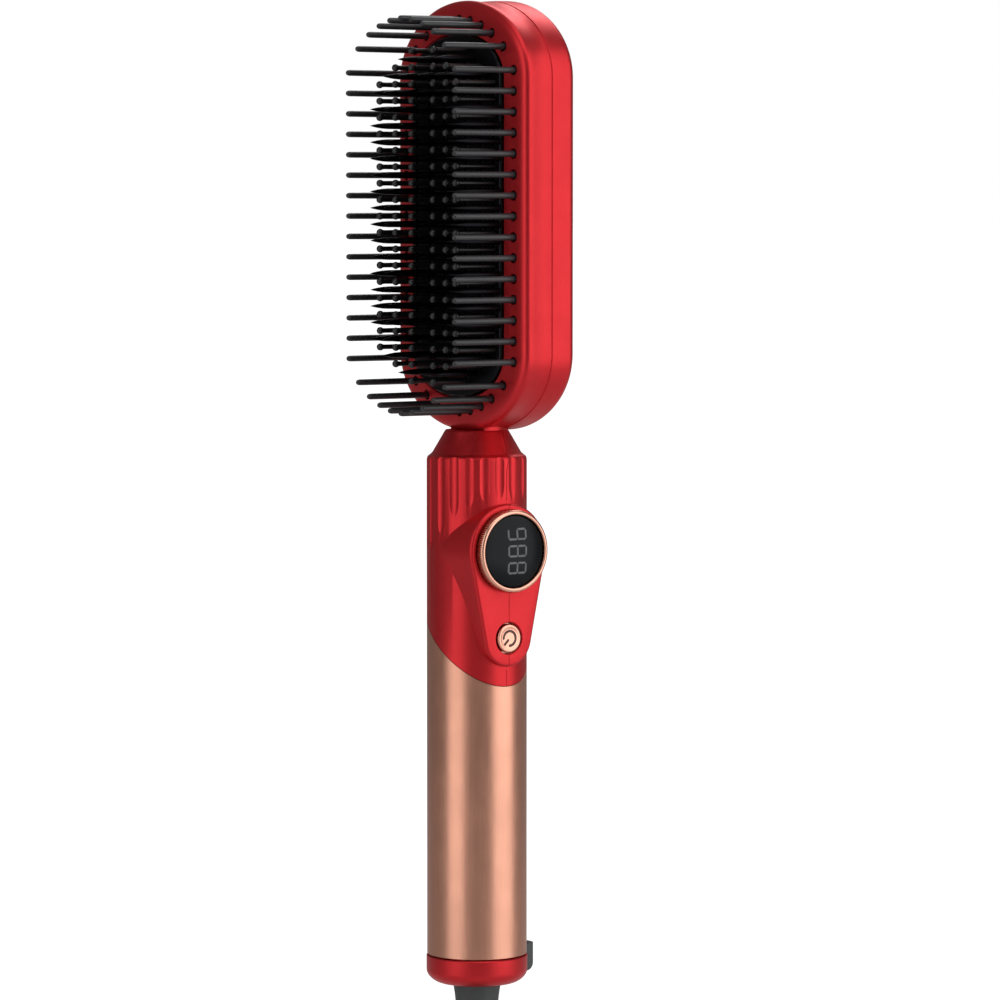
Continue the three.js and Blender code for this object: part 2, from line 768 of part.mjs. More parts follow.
// The outer shape of the hank's turns lying side by side, drawn as (z, x).
function hankBlock(clearance, depth) {
  const half = HANK_HALF + clearance;
  const shape = new THREE.Shape();
  shape.absarc(TOP_CENTRE, 0, half, -Math.PI / 2, Math.PI / 2);
  shape.absarc(BOTTOM_CENTRE, 0, half, Math.PI / 2, 1.5 * Math.PI);
  shape.closePath();
  return slab(shape, 'y', -depth / 2, depth / 2, 8);
}
const BLOCK_DEPTH = HANK_DEPTH + 2 * CORD.radius;
piece('cord_hank', hankBlock(0, BLOCK_DEPTH), DARK_GREY);

function hankTie() {
  const middle = (TOP_CENTRE + BOTTOM_CENTRE) / 2;
  const inner = [HANK_HALF + GAP, BLOCK_DEPTH / 2 + GAP];
  const outer = inner.map((value) => value + TIE.thickness);
  const band = box([-outer[0], -outer[1], middle - TIE.width / 2], [outer[0], outer[1], middle + TIE.width / 2]);
  return band.subtract(box([-inner[0], -inner[1], middle - TIE.width], [inner[0], inner[1], middle + TIE.width]));
}
piece('cord_tie', hankTie(), BLACK);

// The last run leaves the hank's bottom and ends in the plug.
const TAIL = [HANK.fold, HANK_DEPTH / 2];
const TAIL_TOP = -262;
const PLUG_TOP = -269;
const PLUG_BOTTOM = PLUG_TOP - PLUG.length;
const tail = rod(CORD.radius, 'z', PLUG_TOP + GAP, TAIL_TOP, [...TAIL, 0], CORD.sides);
piece('cord_tail', tail, DARK_GREY);

function plugRing(z, halfWidth, halfDepth) {
  const corner = Math.min(halfWidth, halfDepth) * 0.6;
  const points = [];
  for (const [sx, sy, turn] of [[1, 1, 0], [-1, 1, 1], [-1, -1, 2], [1, -1, 3]]) {
    for (let i = 0; i <= 3; i += 1) {
      const angle = (turn + i / 3) * Math.PI / 2;
      const x = sx * (halfWidth - corner) + corner * Math.cos(angle);
      const y = sy * (halfDepth - corner) + corner * Math.sin(angle);
      points.push([TAIL[0] + x, TAIL[1] + y, z]);
    }
  }
  return points;
}

function plugBody() {
  const half = [PLUG.width / 2, PLUG.depth / 2];
  return loft([
    plugRing(PLUG_BOTTOM, half[0] - 0.8, half[1] - 0.8),
    plugRing(PLUG_BOTTOM + 0.8, half[0], half[1]),
    plugRing(PLUG_BOTTOM + 12, half[0], half[1]),
    plugRing(PLUG_TOP - 12, 6.5, 6),
    plugRing(PLUG_TOP, 4.4, 4.4),
  ]);
}

function plugPin(side) {
  const x = TAIL[0] + side * PLUG.pinSpacing / 2;
  const top = PLUG_BOTTOM - GAP;
  return box([x - 0.75, TAIL[1] - 3.15, top - PLUG.pinLength], [x + 0.75, TAIL[1] + 3.15, top]);
}
piece('plug_body', plugBody(), DARK_GREY);
piece('plug_pin_live', plugPin(1), BRASS);
piece('plug_pin_neutral', plugPin(-1), BRASS);

export default model;
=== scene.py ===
import math

import bmesh
import bpy
from mathutils import Matrix, Vector


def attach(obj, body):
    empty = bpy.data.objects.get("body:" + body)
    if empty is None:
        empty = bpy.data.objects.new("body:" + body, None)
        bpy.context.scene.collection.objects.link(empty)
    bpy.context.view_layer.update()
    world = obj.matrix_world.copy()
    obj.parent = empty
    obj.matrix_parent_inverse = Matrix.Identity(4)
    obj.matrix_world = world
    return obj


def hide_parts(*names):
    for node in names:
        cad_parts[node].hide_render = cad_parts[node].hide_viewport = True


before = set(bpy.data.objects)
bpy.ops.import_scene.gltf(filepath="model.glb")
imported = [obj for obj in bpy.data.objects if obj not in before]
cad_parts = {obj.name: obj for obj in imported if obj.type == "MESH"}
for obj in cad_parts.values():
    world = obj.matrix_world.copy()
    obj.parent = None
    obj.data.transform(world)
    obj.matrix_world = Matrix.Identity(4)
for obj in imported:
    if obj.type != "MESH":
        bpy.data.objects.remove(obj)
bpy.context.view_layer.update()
scene = bpy.context.scene
MM = 0.001
TAU = 2 * math.pi


# -------- mesh helpers
def linked(name, data):
    obj = bpy.data.objects.new(name, data)
    scene.collection.objects.link(obj)
    return obj


def from_bmesh(name, bm):
    mesh = bpy.data.meshes.new(name)
    bm.to_mesh(mesh)
    bm.free()
    return linked(name, mesh)


def mesh_object(name, verts, faces):
    """A mesh from points in millimetres, with doubled points merged and every face turned outwards."""
    mesh = bpy.data.meshes.new(name)
    mesh.from_pydata([(x * MM, y * MM, z * MM) for x, y, z in verts], [], faces)
    bm = bmesh.new()
    bm.from_mesh(mesh)
    bmesh.ops.remove_doubles(bm, verts=bm.verts, dist=1e-7)
    bmesh.ops.recalc_face_normals(bm, faces=bm.faces)
    bm.to_mesh(mesh)
    bm.free()
    return linked(name, mesh)


def grid_faces(rows, columns, wrap_rows=False):
    """Quads between closed rows of points. wrap_rows joins the last row to the first."""
    faces = []
    for r in range(rows if wrap_rows else rows - 1):
        below = r * columns
        above = ((r + 1) % rows) * columns
        for c in range(columns):
            d = (c + 1) % columns
            faces.append((below + c, below + d, above + d, above + c))
    return faces


def loft(name, rings, tube=False):
    """A skin through rings of equal point counts, with flat ends or, as a tube, with its ends joined."""
    count = len(rings[0])
    verts = [p for ring in rings for p in ring]
    faces = grid_faces(len(rings), count, wrap_rows=tube)
    if not tube:
        faces.append(tuple(range(count)))
        faces.append(tuple((len(rings) - 1) * count + i for i in range(count)))
    return mesh_object(name, verts, faces)


def on_axis(axis, radius, along, angle, centre):
    """The point at a radius and angle about an axis through the centre, and at a distance along it."""
    u, v = radius * math.cos(angle), radius * math.sin(angle)
    x, y, z = {"x": (along, u, v), "y": (u, along, v), "z": (u, v, along)}[axis]
    return (x + centre[0], y + centre[1], z + centre[2])


def lathe(name, profile, axis="z", centre=(0, 0, 0), segments=96, closed=False):
    """Turns (radius, along) points about an axis. closed joins the last point to the first."""
    verts, faces, rows = [], [], []
    for radius, along in profile:
        if radius < 1e-6:
            rows.append([len(verts)])
            verts.append(on_axis(axis, 0, along, 0, centre))
        else:
            rows.append(list(range(len(verts), len(verts) + segments)))
            verts += [on_axis(axis, radius, along, TAU * i / segments, centre) for i in range(segments)]
    pairs = list(zip(rows, rows[1:]))
    if closed:
        pairs.append((rows[-1], rows[0]))
    for low, high in pairs:
        for i in range(segments):
            j = (i + 1) % segments
            face = [low[i % len(low)], low[j % len(low)], high[j % len(high)], high[i % len(high)]]
            face = list(dict.fromkeys(face))
            if len(face) > 2:
                faces.append(tuple(face))
    return mesh_object(name, verts, faces)


def prism(name, outline, axis, low, high):
    """A flat outline in the other two axes, pushed along the given one from low to high."""
    spot = "xyz".index(axis)
    rings = []
    for along in (low, high):
        ring = []
        for a, b in outline:
            point = [a, b]
            point.insert(spot, along)
            ring.append(tuple(point))
        rings.append(ring)
    return loft(name, rings)


def block(name, low, high):
    """A box between two opposite corners."""
    outline = [(low[0], low[1]), (high[0], low[1]), (high[0], high[1]), (low[0], high[1])]
    return prism(name, outline, "z", low[2], high[2])


def boolean(obj, tool, operation="DIFFERENCE"):
    """Cuts with, adds or intersects a tool, which is used up."""
    modifier = obj.modifiers.new("cut", "BOOLEAN")
    modifier.operation = operation
    modifier.solver = "MANIFOLD"
    modifier.object = tool
    depsgraph = bpy.context.evaluated_depsgraph_get()
    result = bpy.data.meshes.new_from_object(obj.evaluated_get(depsgraph))
    obj.modifiers.clear()
    old = obj.data
    obj.data = result
    result.name = old.name + "_b"
    bpy.data.meshes.remove(old)
    bpy.data.objects.remove(tool)
    return obj


def join(name, objects):
    """One object out of several that may touch, without merging them."""
    bm = bmesh.new()
    for obj in objects:
        bm.from_mesh(obj.data)
        bpy.data.objects.remove(obj)
    return from_bmesh(name, bm)


def copies(name, master, places):
    """One object that repeats a small mesh at each placement matrix."""
    bm = bmesh.new()
    for place in places:
        start = len(bm.verts)
        bm.from_mesh(master.data)
        bm.verts.ensure_lookup_table()
        bmesh.ops.transform(bm, matrix=place, verts=bm.verts[start:])
    bpy.data.objects.remove(master)
    return from_bmesh(name, bm)


def soften(obj, angle=32):
    """Smooth faces, with the edges that turn by more than the angle left sharp."""
    bm = bmesh.new()
    bm.from_mesh(obj.data)
    bmesh.ops.remove_doubles(bm, verts=bm.verts, dist=2e-7)
    limit = math.radians(angle)
    for edge in bm.edges:
        edge.smooth = len(edge.link_faces) == 2 and edge.calc_face_angle(0) < limit
    for face in bm.faces:
        face.smooth = True
    bm.to_mesh(obj.data)
    bm.free()
    return obj


def finish_piece(obj, body, nodes, material, angle=32):
    """Gives a piece its shading, its body and its material, and hides the CAD nodes that it stands for."""
    soften(obj, angle)
    obj.data.materials.clear()
    obj.data.materials.append(material)
    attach(obj, body)
    if nodes:
        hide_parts(*nodes)
    return obj


def catmull(points, per_span):
    """Points on a smooth curve through the given ones."""
    padded = [points[0] * 2 - points[1]] + points + [points[-1] * 2 - points[-2]]
    out = []
    for i in range(1, len(padded) - 2):
        a, b, c, d = padded[i - 1 : i + 3]
        for k in range(per_span):
            t = k / per_span
            square = (2 * a - 5 * b + 4 * c - d) * t * t
            cube = (3 * b - a - 3 * c + d) * t ** 3
            out.append(0.5 * (2 * b + (c - a) * t + square + cube))
    out.append(points[-1])
    return out


def tube_rings(path, radius, sides):
    """Rings carried along a path without twisting."""
    rings = []
    tangent = (path[1] - path[0]).normalized()
    normal = tangent.orthogonal().normalized()
    for i, point in enumerate(path):
        ahead = path[min(i + 1, len(path) - 1)] - path[max(i - 1, 0)]
        ahead.normalize()
        normal = (normal - ahead * normal.dot(ahead)).normalized()
        side = ahead.cross(normal)
        ring = []
        for k in range(sides):
            angle = TAU * k / sides
            ring.append(tuple(point + (normal * math.cos(angle) + side * math.sin(angle)) * radius))
        rings.append(ring)
    return rings


# -------- materials
class Nodes:
    """Short calls for a node material: every texture reads the piece's own object coordinates."""

    def __init__(self, name):
        self.material = bpy.data.materials.new(name)
        self.material.use_nodes = True
        self.tree = self.material.node_tree
        self.shader = self.tree.nodes["Principled BSDF"]
        self.place = self.tree.nodes.new("ShaderNodeTexCoord").outputs["Object"]

    def feed(self, node, inputs):
        """Fills a node's inputs from plain values or from the outputs of other nodes."""
        for key, value in inputs.items():
            if isinstance(value, bpy.types.NodeSocket):
                self.tree.links.new(value, node.inputs[key])
            else:
                node.inputs[key].default_value = value

    def node(self, kind, inputs, **settings):
        node = self.tree.nodes.new("ShaderNode" + kind)
        for key, value in settings.items():
            setattr(node, key, value)
        self.feed(node, inputs)
        return node

    def surface(self, inputs):
        self.feed(self.shader, inputs)

    def noise(self, scale, detail=3.0, roughness=0.5, stretch=(1, 1, 1)):
        place = self.node("Mapping", {"Vector": self.place, "Scale": stretch}).outputs["Vector"]
        inputs = {"Vector": place, "Scale": scale, "Detail": detail, "Roughness": roughness}
        return self.node("TexNoise", inputs).outputs["Fac"]

    def voronoi(self, scale):
        return self.node("TexVoronoi", {"Vector": self.place, "Scale": scale}).outputs["Distance"]

    def wave(self, scale, direction):
        inputs = {"Vector": self.place, "Scale": scale}
        return self.node("TexWave", inputs, bands_direction=direction).outputs["Fac"]

    def ramp(self, value, stops):
        node = self.node("ValToRGB", {"Fac": value})
        ramp = node.color_ramp
        while len(ramp.elements) < len(stops):
            ramp.elements.new(0.5)
        for element, (position, colour) in zip(ramp.elements, stops):
            element.position = position
            element.color = (*colour, 1)
        return node.outputs["Color"]

    def range(self, value, low, high, start=0.25, end=0.75):
        """Maps start...end to low...high. Noise stays mostly between the two default values."""
        inputs = {"Value": value, "From Min": start, "From Max": end, "To Min": low, "To Max": high}
        return self.node("MapRange", inputs).outputs["Result"]

    def combine(self, operation, a, b):
        return self.node("Math", {0: a, 1: b}, operation=operation).outputs[0]

    def blend(self, broad, fine, fine_share):
        """Broad and fine texture in one value, in the shares given."""
        shares = (self.range(broad, 0, 1 - fine_share), self.range(fine, 0, fine_share))
        return self.combine("ADD", *shares)

    def colour(self, value, low, high, start=0.3, end=0.7):
        self.surface({"Base Color": self.ramp(value, [(start, low), (end, high)])})

    def rough(self, value, low, high):
        self.surface({"Roughness": self.range(value, low, high)})

    def bump(self, value, strength, distance_mm):
        inputs = {"Height": value, "Strength": strength, "Distance": distance_mm * MM}
        self.surface({"Normal": self.node("Bump", inputs).outputs["Normal"]})


def linear(red, green, blue):
    """Linear colour from sRGB channels of 0 to 255."""

    def channel(value):
        value /= 255
        return value / 12.92 if value <= 0.04045 else ((value + 0.055) / 1.055) ** 2.4

    return (channel(red), channel(green), channel(blue))


def shades(rgb, spread):
    """A darker and a lighter shade of one colour."""
    base = linear(*rgb)
    return [tuple(c * (1 - spread) for c in base), tuple(min(1, c * (1 + spread)) for c in base)]


def painted(name, rgb, metallic, low, high, spread=0.05):
    """Satin paint over plastic: slow tone drift, fine flake and a faint orange-peel surface."""
    m = Nodes(name)
    flake = m.noise(2600, 2, 0.6)
    m.colour(m.blend(m.noise(22, 3), flake, 0.4), *shades(rgb, spread))
    m.rough(m.noise(160, 4, 0.6), low, high)
    m.surface({"Metallic": metallic})
    orange_peel = m.combine("ADD", m.range(m.noise(900, 2), 0, 1), m.range(flake, 0, 0.5))
    m.bump(orange_peel, 0.12, 0.02)
    return m.material


def plastic(name, rgb, low, high, spread=0.12, bump=0.25, scale=1500):
    """Moulded plastic: fine spark-eroded texture and slight tone drift."""
    m = Nodes(name)
    grain = m.noise(scale, 3, 0.65)
    m.colour(m.blend(m.noise(35, 4), grain, 0.45), *shades(rgb, spread))
    m.rough(m.noise(260, 4, 0.6), low, high)
    m.bump(grain, bump, 0.03)
    return m.material


def metal(name, rgb, low, high, spread=0.05, stretch=(1, 1, 1), grain_scale=900, bump=0.08):
    """Metal: tone drift, fine finish marks and roughness that varies over the surface."""
    m = Nodes(name)
    grain = m.noise(grain_scale, 3, 0.6, stretch)
    m.colour(m.blend(m.noise(18, 3), grain, 0.4), *shades(rgb, spread))
    m.rough(m.blend(m.noise(120, 4), grain, 0.4), low, high)
    m.surface({"Metallic": 1.0})
    m.bump(grain, bump, 0.01)
    return m.material


def board_material():
    """Circuit board: green solder mask over darker tracks."""
    m = Nodes("board_mask")
    greens = [(0.0, linear(16, 70, 42)), (0.35, linear(24, 96, 58)), (0.6, linear(14, 62, 40))]
    m.surface({"Base Color": m.ramp(m.voronoi(420), greens)})
    m.rough(m.noise(300, 3), 0.25, 0.45)
    m.bump(m.noise(700, 2), 0.2, 0.03)
    return m.material


def winding_material():
    """Enamelled copper wire wound side by side."""
    m = Nodes("copper_winding")
    turns = m.wave(95, "X")
    m.colour(turns, linear(96, 48, 22), linear(190, 112, 60), 0.1, 0.9)
    m.rough(m.noise(300, 3), 0.25, 0.4)
    m.surface({"Metallic": 0.9})
    m.bump(turns, 0.8, 0.2)
    return m.material


def strap_material():
    """Woven hook-and-loop strap."""
    m = Nodes("strap_weave")
    weave = m.combine("MULTIPLY", m.wave(420, "Z"), m.wave(420, "DIAGONAL"))
    m.colour(m.blend(weave, m.noise(900, 4), 0.4), linear(14, 14, 15), linear(42, 42, 44))
    m.rough(m.noise(400, 3), 0.75, 0.95)
    m.surface({"Sheen Weight": 0.3})
    m.bump(weave, 0.6, 0.12)
    return m.material


def lens_material():
    """Smoked lens: near black under a clear glossy face, with hairline marks."""
    m = Nodes("lens_smoked")
    m.colour(m.noise(60, 3), linear(6, 8, 11), linear(13, 15, 18))
    m.rough(m.noise(220, 4, 0.7), 0.2, 0.28)
    m.surface({"Specular IOR Level": 0.13})
    m.bump(m.noise(1800, 2), 0.02, 0.005)
    return m.material


def digit_material():
    """Unlit segments seen through the smoked lens."""
    m = Nodes("digit_grey")
    m.colour(m.noise(700, 3), linear(86, 87, 89), linear(110, 111, 112))
    m.rough(m.noise(500, 2), 0.35, 0.5)
    m.surface({"Specular IOR Level": 0.3})
    m.bump(m.noise(1500, 2), 0.1, 0.01)
    return m.material


red_paint = painted("red_satin", (196, 38, 44), 0.78, 0.36, 0.44)
BRUSHED = (1, 1, 0.05)  # finish marks drawn out along Z
gold_tube = metal("rose_gold_satin", (209, 152, 129), 0.3, 0.38, stretch=BRUSHED, grain_scale=1400, bump=0.05)
gold_bright = metal("rose_gold_polished", (222, 164, 142), 0.24, 0.32, grain_scale=1200, bump=0.04)
bristle_black = plastic("bristle_nylon", (15, 15, 16), 0.32, 0.46, spread=0.2, scale=1800, bump=0.15)
guard_black = plastic("guard_nylon", (33, 33, 36), 0.34, 0.46, spread=0.2, scale=1800, bump=0.15)
plate_black = metal("plate_coated", (30, 30, 33), 0.3, 0.42, spread=0.15, grain_scale=1600, bump=0.2)
dark_grey = plastic("boot_grey", (58, 61, 61), 0.5, 0.64, bump=0.35)
cord_grey = plastic("cord_grey", (52, 55, 56), 0.42, 0.55, bump=0.2, scale=1100)
plug_grey = plastic("plug_grey", (56, 59, 60), 0.45, 0.6, bump=0.3)
lens = lens_material()
digits_grey = digit_material()
# Dark brown for the thin sheet at the bottom of the sunk power mark: painted shade in the recess.
symbol_painted_shade = plastic("symbol_painted_shade", (78, 46, 36), 0.45, 0.6, bump=0.2)
strap = strap_material()
brass = metal("brass_contact", (196, 158, 92), 0.22, 0.34)
steel = metal("steel_screw", (176, 179, 183), 0.25, 0.4)
ceramic = plastic("ceramic_white", (226, 222, 210), 0.55, 0.75, spread=0.06, bump=0.3)
mica = plastic("mica_film", (176, 160, 112), 0.3, 0.5, spread=0.12, bump=0.25)
film_yellow = plastic("capacitor_yellow", (206, 170, 70), 0.35, 0.5, spread=0.08)
board = board_material()
winding = winding_material()
white_plastic = plastic("white_nylon", (222, 221, 214), 0.45, 0.6, spread=0.06)
black_plastic = plastic("black_moulded", (22, 22, 23), 0.45, 0.6)
wire_red = plastic("wire_red", (186, 32, 30), 0.35, 0.5)
wire_black = plastic("wire_black", (24, 24, 26), 0.35, 0.5)
wire_blue = plastic("wire_blue", (36, 66, 140), 0.35, 0.5)

# Pieces inside the housing keep their CAD shape and get a material here.
CARRIED = (
    (steel, "housing_screw_left", "housing_screw_right", "thermal_fuse"),
    (steel, "plate_screw_1", "plate_screw_2", "plate_screw_3", "plate_screw_4"),
    (ceramic, "heater_left", "heater_right", "thermistor"),
    (mica, "mica_strip_left", "mica_strip_right"),
    (black_plastic, "encoder_body", "encoder_rotor", "display_holder", "display_module"),
    (black_plastic, "tact_switch", "triac"),
    (board, "control_board", "power_board"),
    (film_yellow, "filter_capacitor"),
    (winding, "choke_coil"),
    (white_plastic, "insulating_sleeve", "swivel_socket", "ribbon_cable"),
    (brass, "contact_spring_live", "contact_spring_neutral", "slip_ring_live", "slip_ring_neutral"),
    (wire_red, "heater_wire_live", "mains_wire_live"),
    (wire_black, "heater_wire_neutral", "mains_wire_neutral"),
    (wire_blue, "sensor_wire"),
)
for material, *nodes in CARRIED:
    for node in nodes:
        for material_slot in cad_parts[node].material_slots:
            material_slot.link = "OBJECT"
            material_slot.material = material


# -------- camera
CAMERA_AT = Vector((1089.3, -797.5, 184)) * MM
AIM = Vector((4.07, 5.5, 94.9)) * MM
SENSOR, LENS = 36, 165.3


def studio_camera():
    data = bpy.data.cameras.new("camera")
    data.sensor_width = SENSOR
    data.lens = LENS
    data.clip_end = 200
    camera = linked("camera", data)
    camera.location = CAMERA_AT
    camera.rotation_euler = (AIM - CAMERA_AT).to_track_quat("-Z", "Y").to_euler()
    scene.camera = camera


studio_camera()


# -------- cord
BOOT_END = -86
LEAD = [(0, 0, BOOT_END), (0, 0, -93), (0, 0, -100), (1.1, -1.2, -109.2), (4.3, -4.5, -117.2)]
LEAD += [(9, -9.4, -123), (13.7, -14.4, -128.8), (16.9, -17.7, -136.8), (18, -18.9, -146)]
CORD_RADIUS = 3.0
TURNS, PITCH, FOLD = 6, 6.3, 18  # turns of the hank, their spacing along Y and the radius of each fold
FIRST_TOP, RUN_TOP, RUN_BOTTOM = -152, -167, -247
PLUG_TOP, PLUG_LENGTH = -269, 34
PLUG_BOTTOM = PLUG_TOP - PLUG_LENGTH
TAIL = (FOLD, TURNS * PITCH / 2)  # where the last run goes down to the plug


def straight_run(x, y, start, end, steps):
    """Points up or down one run of the hank, without the first one."""
    return [Vector((x, y, start + (end - start) * k / steps)) for k in range(1, steps + 1)]


def fold_over(side, y, z, steps=22):
    """Half a turn from one side of the hank to the other, which also moves on by half a pitch."""
    points = []
    for k in range(1, steps + 1):
        t = k / steps
        ease = t * t * (3 - 2 * t)
        x = side * FOLD * math.cos(math.pi * t)
        points.append(Vector((x, y + PITCH / 2 * ease, z - side * FOLD * math.sin(math.pi * t))))
    return points


def cord_path():
    """Out of the boot, then six turns of hank whose runs lie side by side, then down to the plug."""
    path = catmull([Vector(p) for p in LEAD], 4)
    top = FIRST_TOP
    path.append(Vector((FOLD, -TAIL[1], top)))
    for turn in range(TURNS):
        y = turn * PITCH - TAIL[1]
        path += straight_run(FOLD, y, top, RUN_BOTTOM, 10)
        path += fold_over(1, y, RUN_BOTTOM)
        path += straight_run(-FOLD, y + PITCH / 2, RUN_BOTTOM, RUN_TOP, 9)
        path += fold_over(-1, y + PITCH / 2, RUN_TOP)
        top = RUN_TOP
    return path + straight_run(*TAIL, RUN_TOP, PLUG_TOP - 2, 10)


route = cord_path()
mains_cord = loft("mains_cord", tube_rings(route, CORD_RADIUS, 18))
finish_piece(mains_cord, "cord", ["cord_lead", "cord_hank", "cord_tail"], cord_grey, 50)


def rounded(half_x, half_y, corner, steps=8):
    """A rounded rectangle as (x, y) points, turned anticlockwise."""
    points = []
    for sx, sy, turn in ((1, 1, 0), (-1, 1, 1), (-1, -1, 2), (1, -1, 3)):
        for i in range(steps + 1):
            angle = (turn + i / steps) * math.pi / 2
            x = sx * (half_x - corner) + corner * math.cos(angle)
            points.append((x, sy * (half_y - corner) + corner * math.sin(angle)))
    return points


def plug_shape():
    """A moulded two-pin plug with a ribbed sleeve. Its stations are (height, half width, half depth)."""
    stations = [(0, 9.6, 6.6), (0.25, 10.2, 7.2), (0.9, 10.8, 7.8), (1.8, 11, 8), (11, 11, 8)]
    stations += [(13.2, 10.4, 7.7), (15.5, 8.7, 7.1), (18, 7.2, 6.4), (20.5, 6.5, 6.0)]
    for rib in range(4):
        up = 21.5 + rib * 3
        half = 6.2 - rib * 0.45
        stations += [(up, half, half - 0.3), (up + 0.35, half - 0.7, half - 1)]
        stations += [(up + 1.2, half - 0.75, half - 1.05), (up + 1.55, half - 0.1, half - 0.4)]
    stations += [(PLUG_LENGTH - 0.4, 4.2, 4.2), (PLUG_LENGTH, 3.9, 3.9)]
    rings = []
    for up, half_x, half_y in stations:
        outline = rounded(half_x, half_y, min(half_x, half_y) * 0.72)
        rings.append([(TAIL[0] + x, TAIL[1] + y, PLUG_BOTTOM + up) for x, y in outline])
    plug = loft("plug_moulding", rings)
    for side in (1, -1):
        grip = [(TAIL[0] + x, PLUG_BOTTOM + 6.4 + z) for x, z in rounded(6.2, 3.2, 1.6)]
        face = TAIL[1] + side * 8
        boolean(plug, prism("grip", grip, "y", face - 0.5, face + 0.5))
    return plug


plug = finish_piece(plug_shape(), "cord", ["plug_body"], plug_grey)


def blade(name, side):
    """A flat plug pin with chamfered end and the usual hole near it."""
    x, y = TAIL[0] + side * 6.35, TAIL[1]
    top, low = PLUG_BOTTOM + 1, PLUG_BOTTOM - 17.8
    stations = [(top, 0.75, 3.15), (low + 1.8, 0.75, 3.15), (low + 0.9, 0.68, 2.85)]
    stations += [(low + 0.3, 0.5, 2.35), (low, 0.3, 2.0)]
    rings = []
    for z, half_x, half_y in stations:
        rings.append([(x + px, y + py, z) for px, py in rounded(half_x, half_y, half_x * 0.5, 3)])
    hole = lathe("hole", [(0, x - 2), (1.5, x - 2), (1.5, x + 2), (0, x + 2)], "x", (0, y, low + 4.2), 32)
    return boolean(loft(name, rings), hole)


pins = [
    finish_piece(blade("plug_blade_live", 1), "cord", ["plug_pin_live"], brass),
    finish_piece(blade("plug_blade_neutral", -1), "cord", ["plug_pin_neutral"], brass),
]


def tie_shape():
    """A strap round the hank whose free end laps over itself on the side that faces -Y."""
    middle, half = (RUN_TOP + RUN_BOTTOM) / 2, 8
    low, high = middle - half, middle + half
    inside, outside = rounded(21.3, 22.2, 3.4, 10), rounded(22.6, 23.5, 4.7, 10)
    rings = []
    for (ix, iy), (ox, oy) in zip(inside, outside):
        x, y = ox - (ox - ix) * 0.25, oy - (oy - iy) * 0.25
        lower = [(ix, iy, low), (x, y, low), (ox, oy, low + 0.4)]
        upper = [(ox, oy, high - 0.4), (x, y, high), (ix, iy, high)]
        rings.append(lower + upper)
    band = loft("strap_band", rings, tube=True)
    lap = [(x - 6, middle + z) for x, z in rounded(11, 8, 2.5)]
    tail = prism("strap_lap", lap, "y", -24.4, -23.55)
    return join("cord_strap", [band, tail])


tie = finish_piece(tie_shape(), "cord", ["cord_tie"], strap)


# -------- brush head
HEAD_Z, STRAIGHT = 178.4, 39.9  # middle of the head, and half the length of its straight sides
HALF_WIDTH, RISE = 31.9, 22.9  # half the head's width, and how far each end bulges past the straight sides
PARTING = 3.6  # where the front and rear housings meet, along Y


def oval(half_width, rise, steps=56):
    """An upright oval with straight sides, as (x, z) points."""
    points = []
    for end in (1, -1):
        for k in range(steps + 1):
            angle = math.pi * k / steps
            x, z = end * half_width * math.cos(angle), STRAIGHT + rise * math.sin(angle)
            points.append((x, HEAD_Z + end * z))
    return points


def oval_ring(y, inset, half_width=HALF_WIDTH, rise=RISE, steps=56):
    return [(x, y, z) for x, z in oval(half_width - inset, rise - inset, steps)]


def oval_slab(name, half_width, rise, low, high):
    return loft(name, [[(x, y, z) for x, z in oval(half_width, rise, 40)] for y in (low, high)])


def rounded_edge(y, inset, radius, steps=8):
    """Stations of a rounded edge that runs from the side wall to the flat back at y."""
    angles = [math.pi / 2 * k / steps for k in range(steps, -1, -1)]
    return [(y - radius * (1 - math.cos(a)), inset + radius * (1 - math.sin(a))) for a in angles]


def head_skin():
    """The head from its face to its back: a crowned rim, the side wall with its seam, and a rounded edge."""
    stations = [(-6.9, 9.6), (-6.78, 8.1), (-6.6, 6.6), (-6.42, 5.2), (-6.27, 3.9), (-6.12, 2.8)]
    stations += [(-5.96, 2.0), (-5.75, 1.32), (-5.46, 0.78), (-5.12, 0.42), (-4.74, 0.17), (-4.3, 0.03)]
    stations += [(-3.9, 0.0), (-2.4, 0.14), (-1.0, 0.27), (0.4, 0.33), (1.4, 0.3), (2.4, 0.18), (3.3, 0.03)]
    stations += [(3.5, 0.28), (3.7, 0.28), (3.9, 0.0), (4.9, -0.08), (6.8, -0.17), (9.6, -0.2)]
    stations += rounded_edge(12.2, -0.2, 2.4)
    return loft("head_skin", [oval_ring(y, inset) for y, inset in stations])


GUARD_X, GUARD_PITCH, GUARD_RISE = 26.6, 6.0, 17.3
GUARD_POWER = 1.8  # how square the guard ring's round ends are: 2 is an ellipse


def spots_on_guard():
    """Places of the guard bristles: two straight rows, closed by a round at each end."""
    spots = []
    for i in range(-7, 8):
        spots += [(GUARD_X, i * GUARD_PITCH), (-GUARD_X, i * GUARD_PITCH)]
    for x in (0, 5.4, 10.8, 16.1, 21.7):
        lift = GUARD_RISE * (1 - (x / GUARD_X) ** GUARD_POWER) ** (1 / GUARD_POWER)
        for side in (x, -x) if x else (0,):
            spots += [(side, STRAIGHT + lift), (side, -STRAIGHT - lift)]
    return spots


GUARD_SPOTS = spots_on_guard()
ROW = 4.81
# Each column's x, its rows each way, and the Y of its beads' middles or its teeth's tips.
COLUMNS = ((5.4, 10, -19.5), (12.6, 9, -20.2), (19.0, 8, -21.3))
FINS = ((0, 10, -21.4), (9.1, 10, -21.8), (15.8, 9, -22.6), (21.0, 8, -23.4))


def column_spots(x, rows, offset):
    """Places down the columns at x and -x: on the rows, or between them when offset is half a row."""
    heights = [row * ROW for row in range(-rows, rows + 1)]
    if offset:
        heights = [sign * (row + offset) * ROW for row in range(rows) for sign in (1, -1)]
    return [(side, z) for z in heights for side in ((x, -x) if x else (0,))]


def at_spot(x, z):
    return Matrix.Translation(Vector((x, 0, HEAD_Z + z)) * MM)


